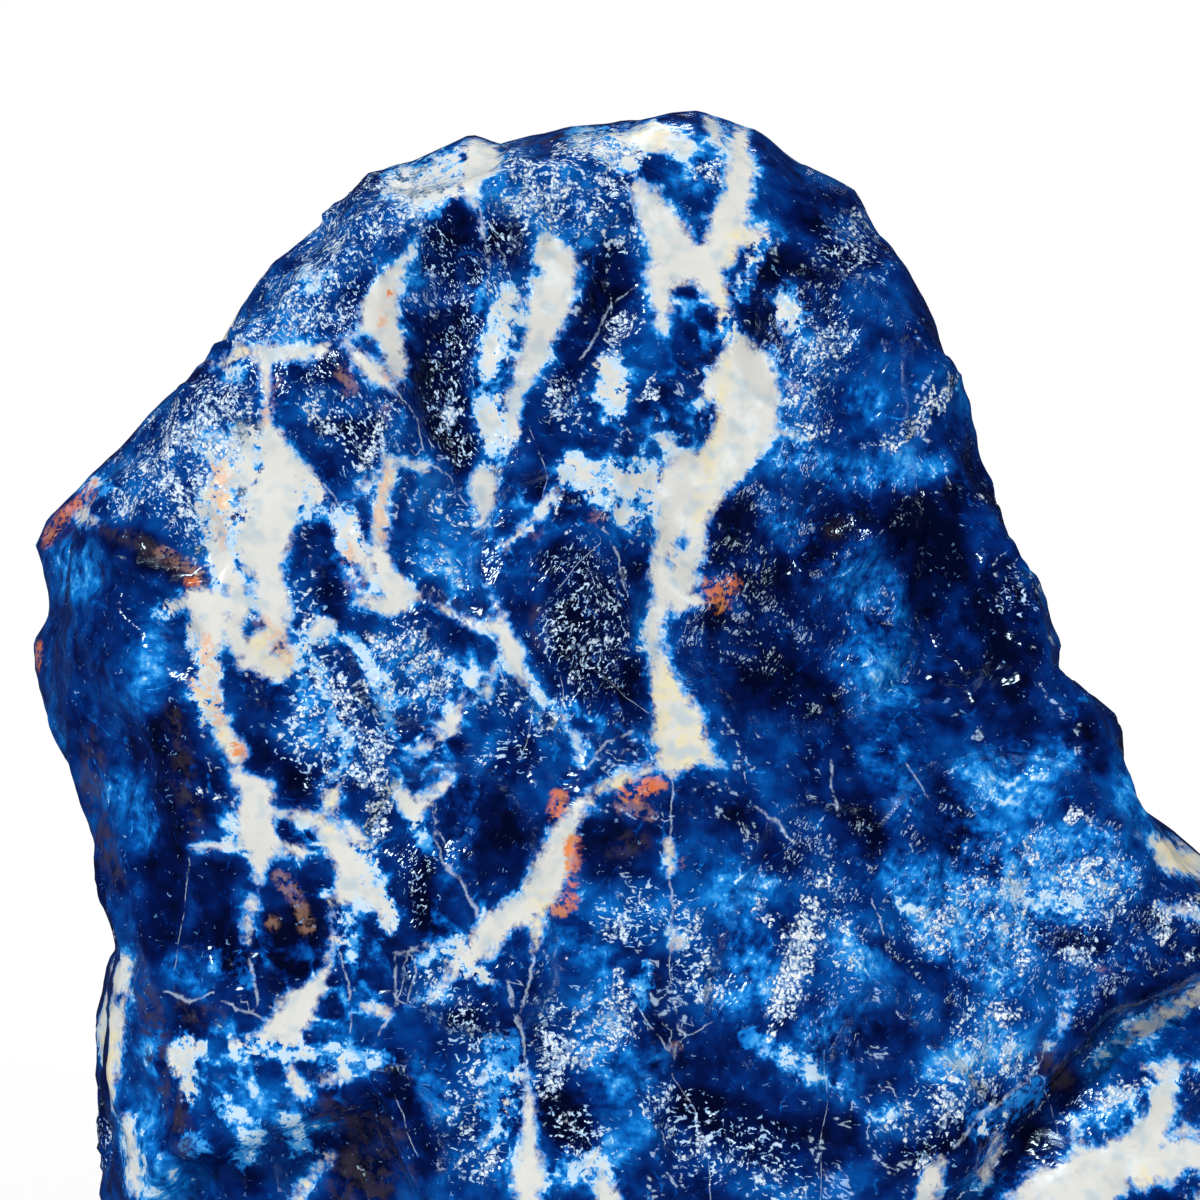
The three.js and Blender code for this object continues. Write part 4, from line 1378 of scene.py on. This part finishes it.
# rust, and the peach blush round it
stain_noise = added(about_zero(grain_share, 1.3), about_zero(streak, 2.4))
rust = scaled(field("rust"), added(about_zero(lump_three, 3.0), stain_noise, 1.1))
rust = scaled(step_between(rust, 0.3, 1.2), scaled(white, 0.25, 0.7))
rust_colour = mixed(step_between(lump_two, 0.35, 0.65), thin_rust, thick_rust)
blush = scaled(field("blush"), added(about_zero(lump_two, 3.0), stain_noise, 1.0))
blush = scaled(step_between(blush, 0.3, 1.5), scaled(white, 0.45, 0.28))
colour = mixed(blush, colour, peach)
colour = mixed(rust, colour, rust_colour)

# silvery sugar: pale broken grains with dark gaps, crowded in patches, their silver partly painted
# glint, and a few bright splinter edges, which are painted highlights
glint_rows = node("TexNoise", Vector=drawn_out(rising_angle, glint_row_shape), Scale=1.0,
                  Detail=1.0).outputs["Fac"]
sugar_and_glint_edge = math_of("MAXIMUM", field("sugar_and_glint"), scaled(glint, 1.1, -1.3))
sugar_and_glint_edge = added(sugar_and_glint_edge, about_zero(lump_three, 1.6), about_zero(grain_share, 0.3),
                   about_zero(glint_rows, 3.4))
sugar_and_glint_edge = scaled(dark_and_shade, -0.45, sugar_and_glint_edge)
patch = step_between(sugar_and_glint_edge, -0.15, 0.25)
packed = scaled(step_between(field("sugar_and_glint"), 0.2, 1.6), 0.22)
netted = scaled(step_between(grains.outputs["Distance"], 0.75, 0.3), scaled(grain_share, 0.75, 0.25))
netted = added(netted, about_zero(streak, 0.5), packed)
# silver grains in the patches, partly painted glint
silver_and_glint = scaled(patch, scaled(white, -0.9, 1.0))
colour = mixed(scaled(silver_and_glint, step_between(netted, 0.09, 0.37)), colour, glint_grain_side)
colour = mixed(scaled(silver_and_glint, step_between(netted, 0.35, 0.71)), colour, glint_grain_top)
# bright flakes are painted highlights on thin splinter lines and single grains, more of them where the
# break glints
glint_streak = step_between(math_of("ABSOLUTE", math_of("SUBTRACT", streak, 0.5)), 0.13, 0.0)
glint_speck = added(scaled(grain_share, 0.6, scaled(glint_streak, 0.4)), scaled(glint, 0.22, -0.955))
painted_glint = scaled(step_between(glint_speck, -0.02, 0.06), scaled(white, -0.8, 0.9))
colour = mixed(painted_glint, colour, mixed(step_between(glint_speck, 0.0, 0.2), glint_flake_side, glint_flake_top))

# wet gloss over the small breaks, which tilt each grain its own way
calm = scaled(white, -0.75, 1.0)
broken = math_of("MAXIMUM", scaled(glint, 0.6), patch)
facet = node("VectorMath", operation="SUBTRACT", i0=grain_colour, i1=(0.5, 0.5, 0.5)).outputs[0]
tilt = scaled(scaled(broken, 0.3, 0.01), calm)
facet = node("VectorMath", operation="SCALE", i0=facet, Scale=tilt).outputs[0]
skin_normal = node("NewGeometry").outputs["Normal"]
facet = node("VectorMath", operation="ADD", i0=skin_normal, i1=facet).outputs[0]
facet = node("VectorMath", operation="NORMALIZE", i0=facet).outputs[0]
relief = scaled(scaled(broken, 0.6, 0.28), calm)
bump = node("Bump", Strength=relief, Distance=MM, Height=scaled(streak, 0.5, swells), Normal=facet)
shader = node("BsdfPrincipled", Base_Color=colour, Normal=bump.outputs["Normal"], IOR=gloss_bending,
              Specular_IOR_Level=gloss_level, Specular_Tint=gloss_tint)
roughness = scaled(white, fill_roughness - blue_roughness, blue_roughness)
tree.links.new(roughness, shader.inputs["Roughness"])
node("OutputMaterial", Surface=shader.outputs["BSDF"])
stone_mesh.materials.append(sodalite)

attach(stone, "root")
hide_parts("rough_sodalite")

# --- Floor, light and camera -------------------------------------------------------------------

# the floor reaches this far each way, in metres, and is dark to the stone's gloss
floor_reach, floor_roughness = 3, 0.9
floor_pale, floor_mirrored = (0.86, 0.86, 0.86, 1), (0.02, 0.02, 0.02, 1)

floor_corners = [(side_x * floor_reach, side_y * floor_reach, 0)
                 for side_x, side_y in ((-1, -1), (1, -1), (1, 1), (-1, 1))]
floor_mesh = bpy.data.meshes.new("floor")
floor_mesh.from_pydata(floor_corners, [], [(0, 1, 2, 3)])
floor = bpy.data.objects.new("floor", floor_mesh)
bpy.context.collection.objects.link(floor)

floor_finish = bpy.data.materials.new("floor")
floor_finish.use_nodes = True
floor_tree = floor_finish.node_tree
floor_shader = floor_tree.nodes["Principled BSDF"]
floor_shader.inputs["Roughness"].default_value = floor_roughness
floor_shader.inputs["Specular IOR Level"].default_value = 0.0
mirrored = floor_tree.nodes.new("ShaderNodeLightPath").outputs["Is Glossy Ray"]
floor_colour = floor_tree.nodes.new("ShaderNodeMix")
floor_colour.data_type = "RGBA"
floor_colour.inputs[6].default_value = floor_pale
floor_colour.inputs[7].default_value = floor_mirrored
floor_tree.links.new(mirrored, floor_colour.inputs[0])
floor_tree.links.new(floor_colour.outputs[2], floor_shader.inputs["Base Color"])
floor_mesh.materials.append(floor_finish)

# how bright the white surroundings are seen, light the stone, and are mirrored in it
seen_white, lighting_white, mirrored_white = 1.0, 0.38, 0.02
world = bpy.data.worlds.new("studio")
world.use_nodes = True
world_tree = world.node_tree
background = world_tree.nodes["Background"]
background.inputs["Color"].default_value = (1, 1, 1, 1)
paths = world_tree.nodes.new("ShaderNodeLightPath")
seen = world_tree.nodes.new("ShaderNodeMapRange")
seen.inputs["To Min"].default_value = lighting_white
seen.inputs["To Max"].default_value = seen_white
reflected = world_tree.nodes.new("ShaderNodeMapRange")
reflected.inputs["To Max"].default_value = mirrored_white
world_tree.links.new(paths.outputs["Is Camera Ray"], seen.inputs["Value"])
world_tree.links.new(paths.outputs["Is Glossy Ray"], reflected.inputs["Value"])
world_tree.links.new(seen.outputs["Result"], reflected.inputs["To Min"])
world_tree.links.new(reflected.outputs["Result"], background.inputs["Strength"])
bpy.context.scene.world = world


def add_sun(name, direction, strength, spread):
    """A soft, distant light: the way it comes from, its strength and its width in degrees."""
    data = bpy.data.lights.new(name, "SUN")
    data.energy = strength
    data.angle = math.radians(spread)
    light = bpy.data.objects.new(name, data)
    light.rotation_euler = Vector(direction).to_track_quat("Z", "Y").to_euler()
    bpy.context.collection.objects.link(light)


# a key light from the upper left, a weak fill from the right and one over the top from behind
add_sun("key", (-0.6, -0.7, 0.9), 2.3, 9)
add_sun("fill", (0.75, -0.8, 0.35), 0.7, 12)
add_sun("top", (0.1, 0.4, 1.0), 0.9, 12)

# the view is as wide as the sheet where it crosses the stone
picture_width = 2 * sheet_middle / sheet_scale
sensor_width, nearest_seen = 36, 0.01
camera_data = bpy.data.cameras.new("camera")
camera_data.sensor_width = sensor_width
camera_data.lens = sensor_width * view_distance / picture_width
camera_data.clip_start = nearest_seen
camera = bpy.data.objects.new("camera", camera_data)
camera.location = eye * MM
camera.rotation_euler = Vector(-to_viewer).to_track_quat("-Z", "Y").to_euler()
bpy.context.collection.objects.link(camera)
bpy.context.scene.camera = camera
bpy.context.scene.view_settings.view_transform = "Standard"
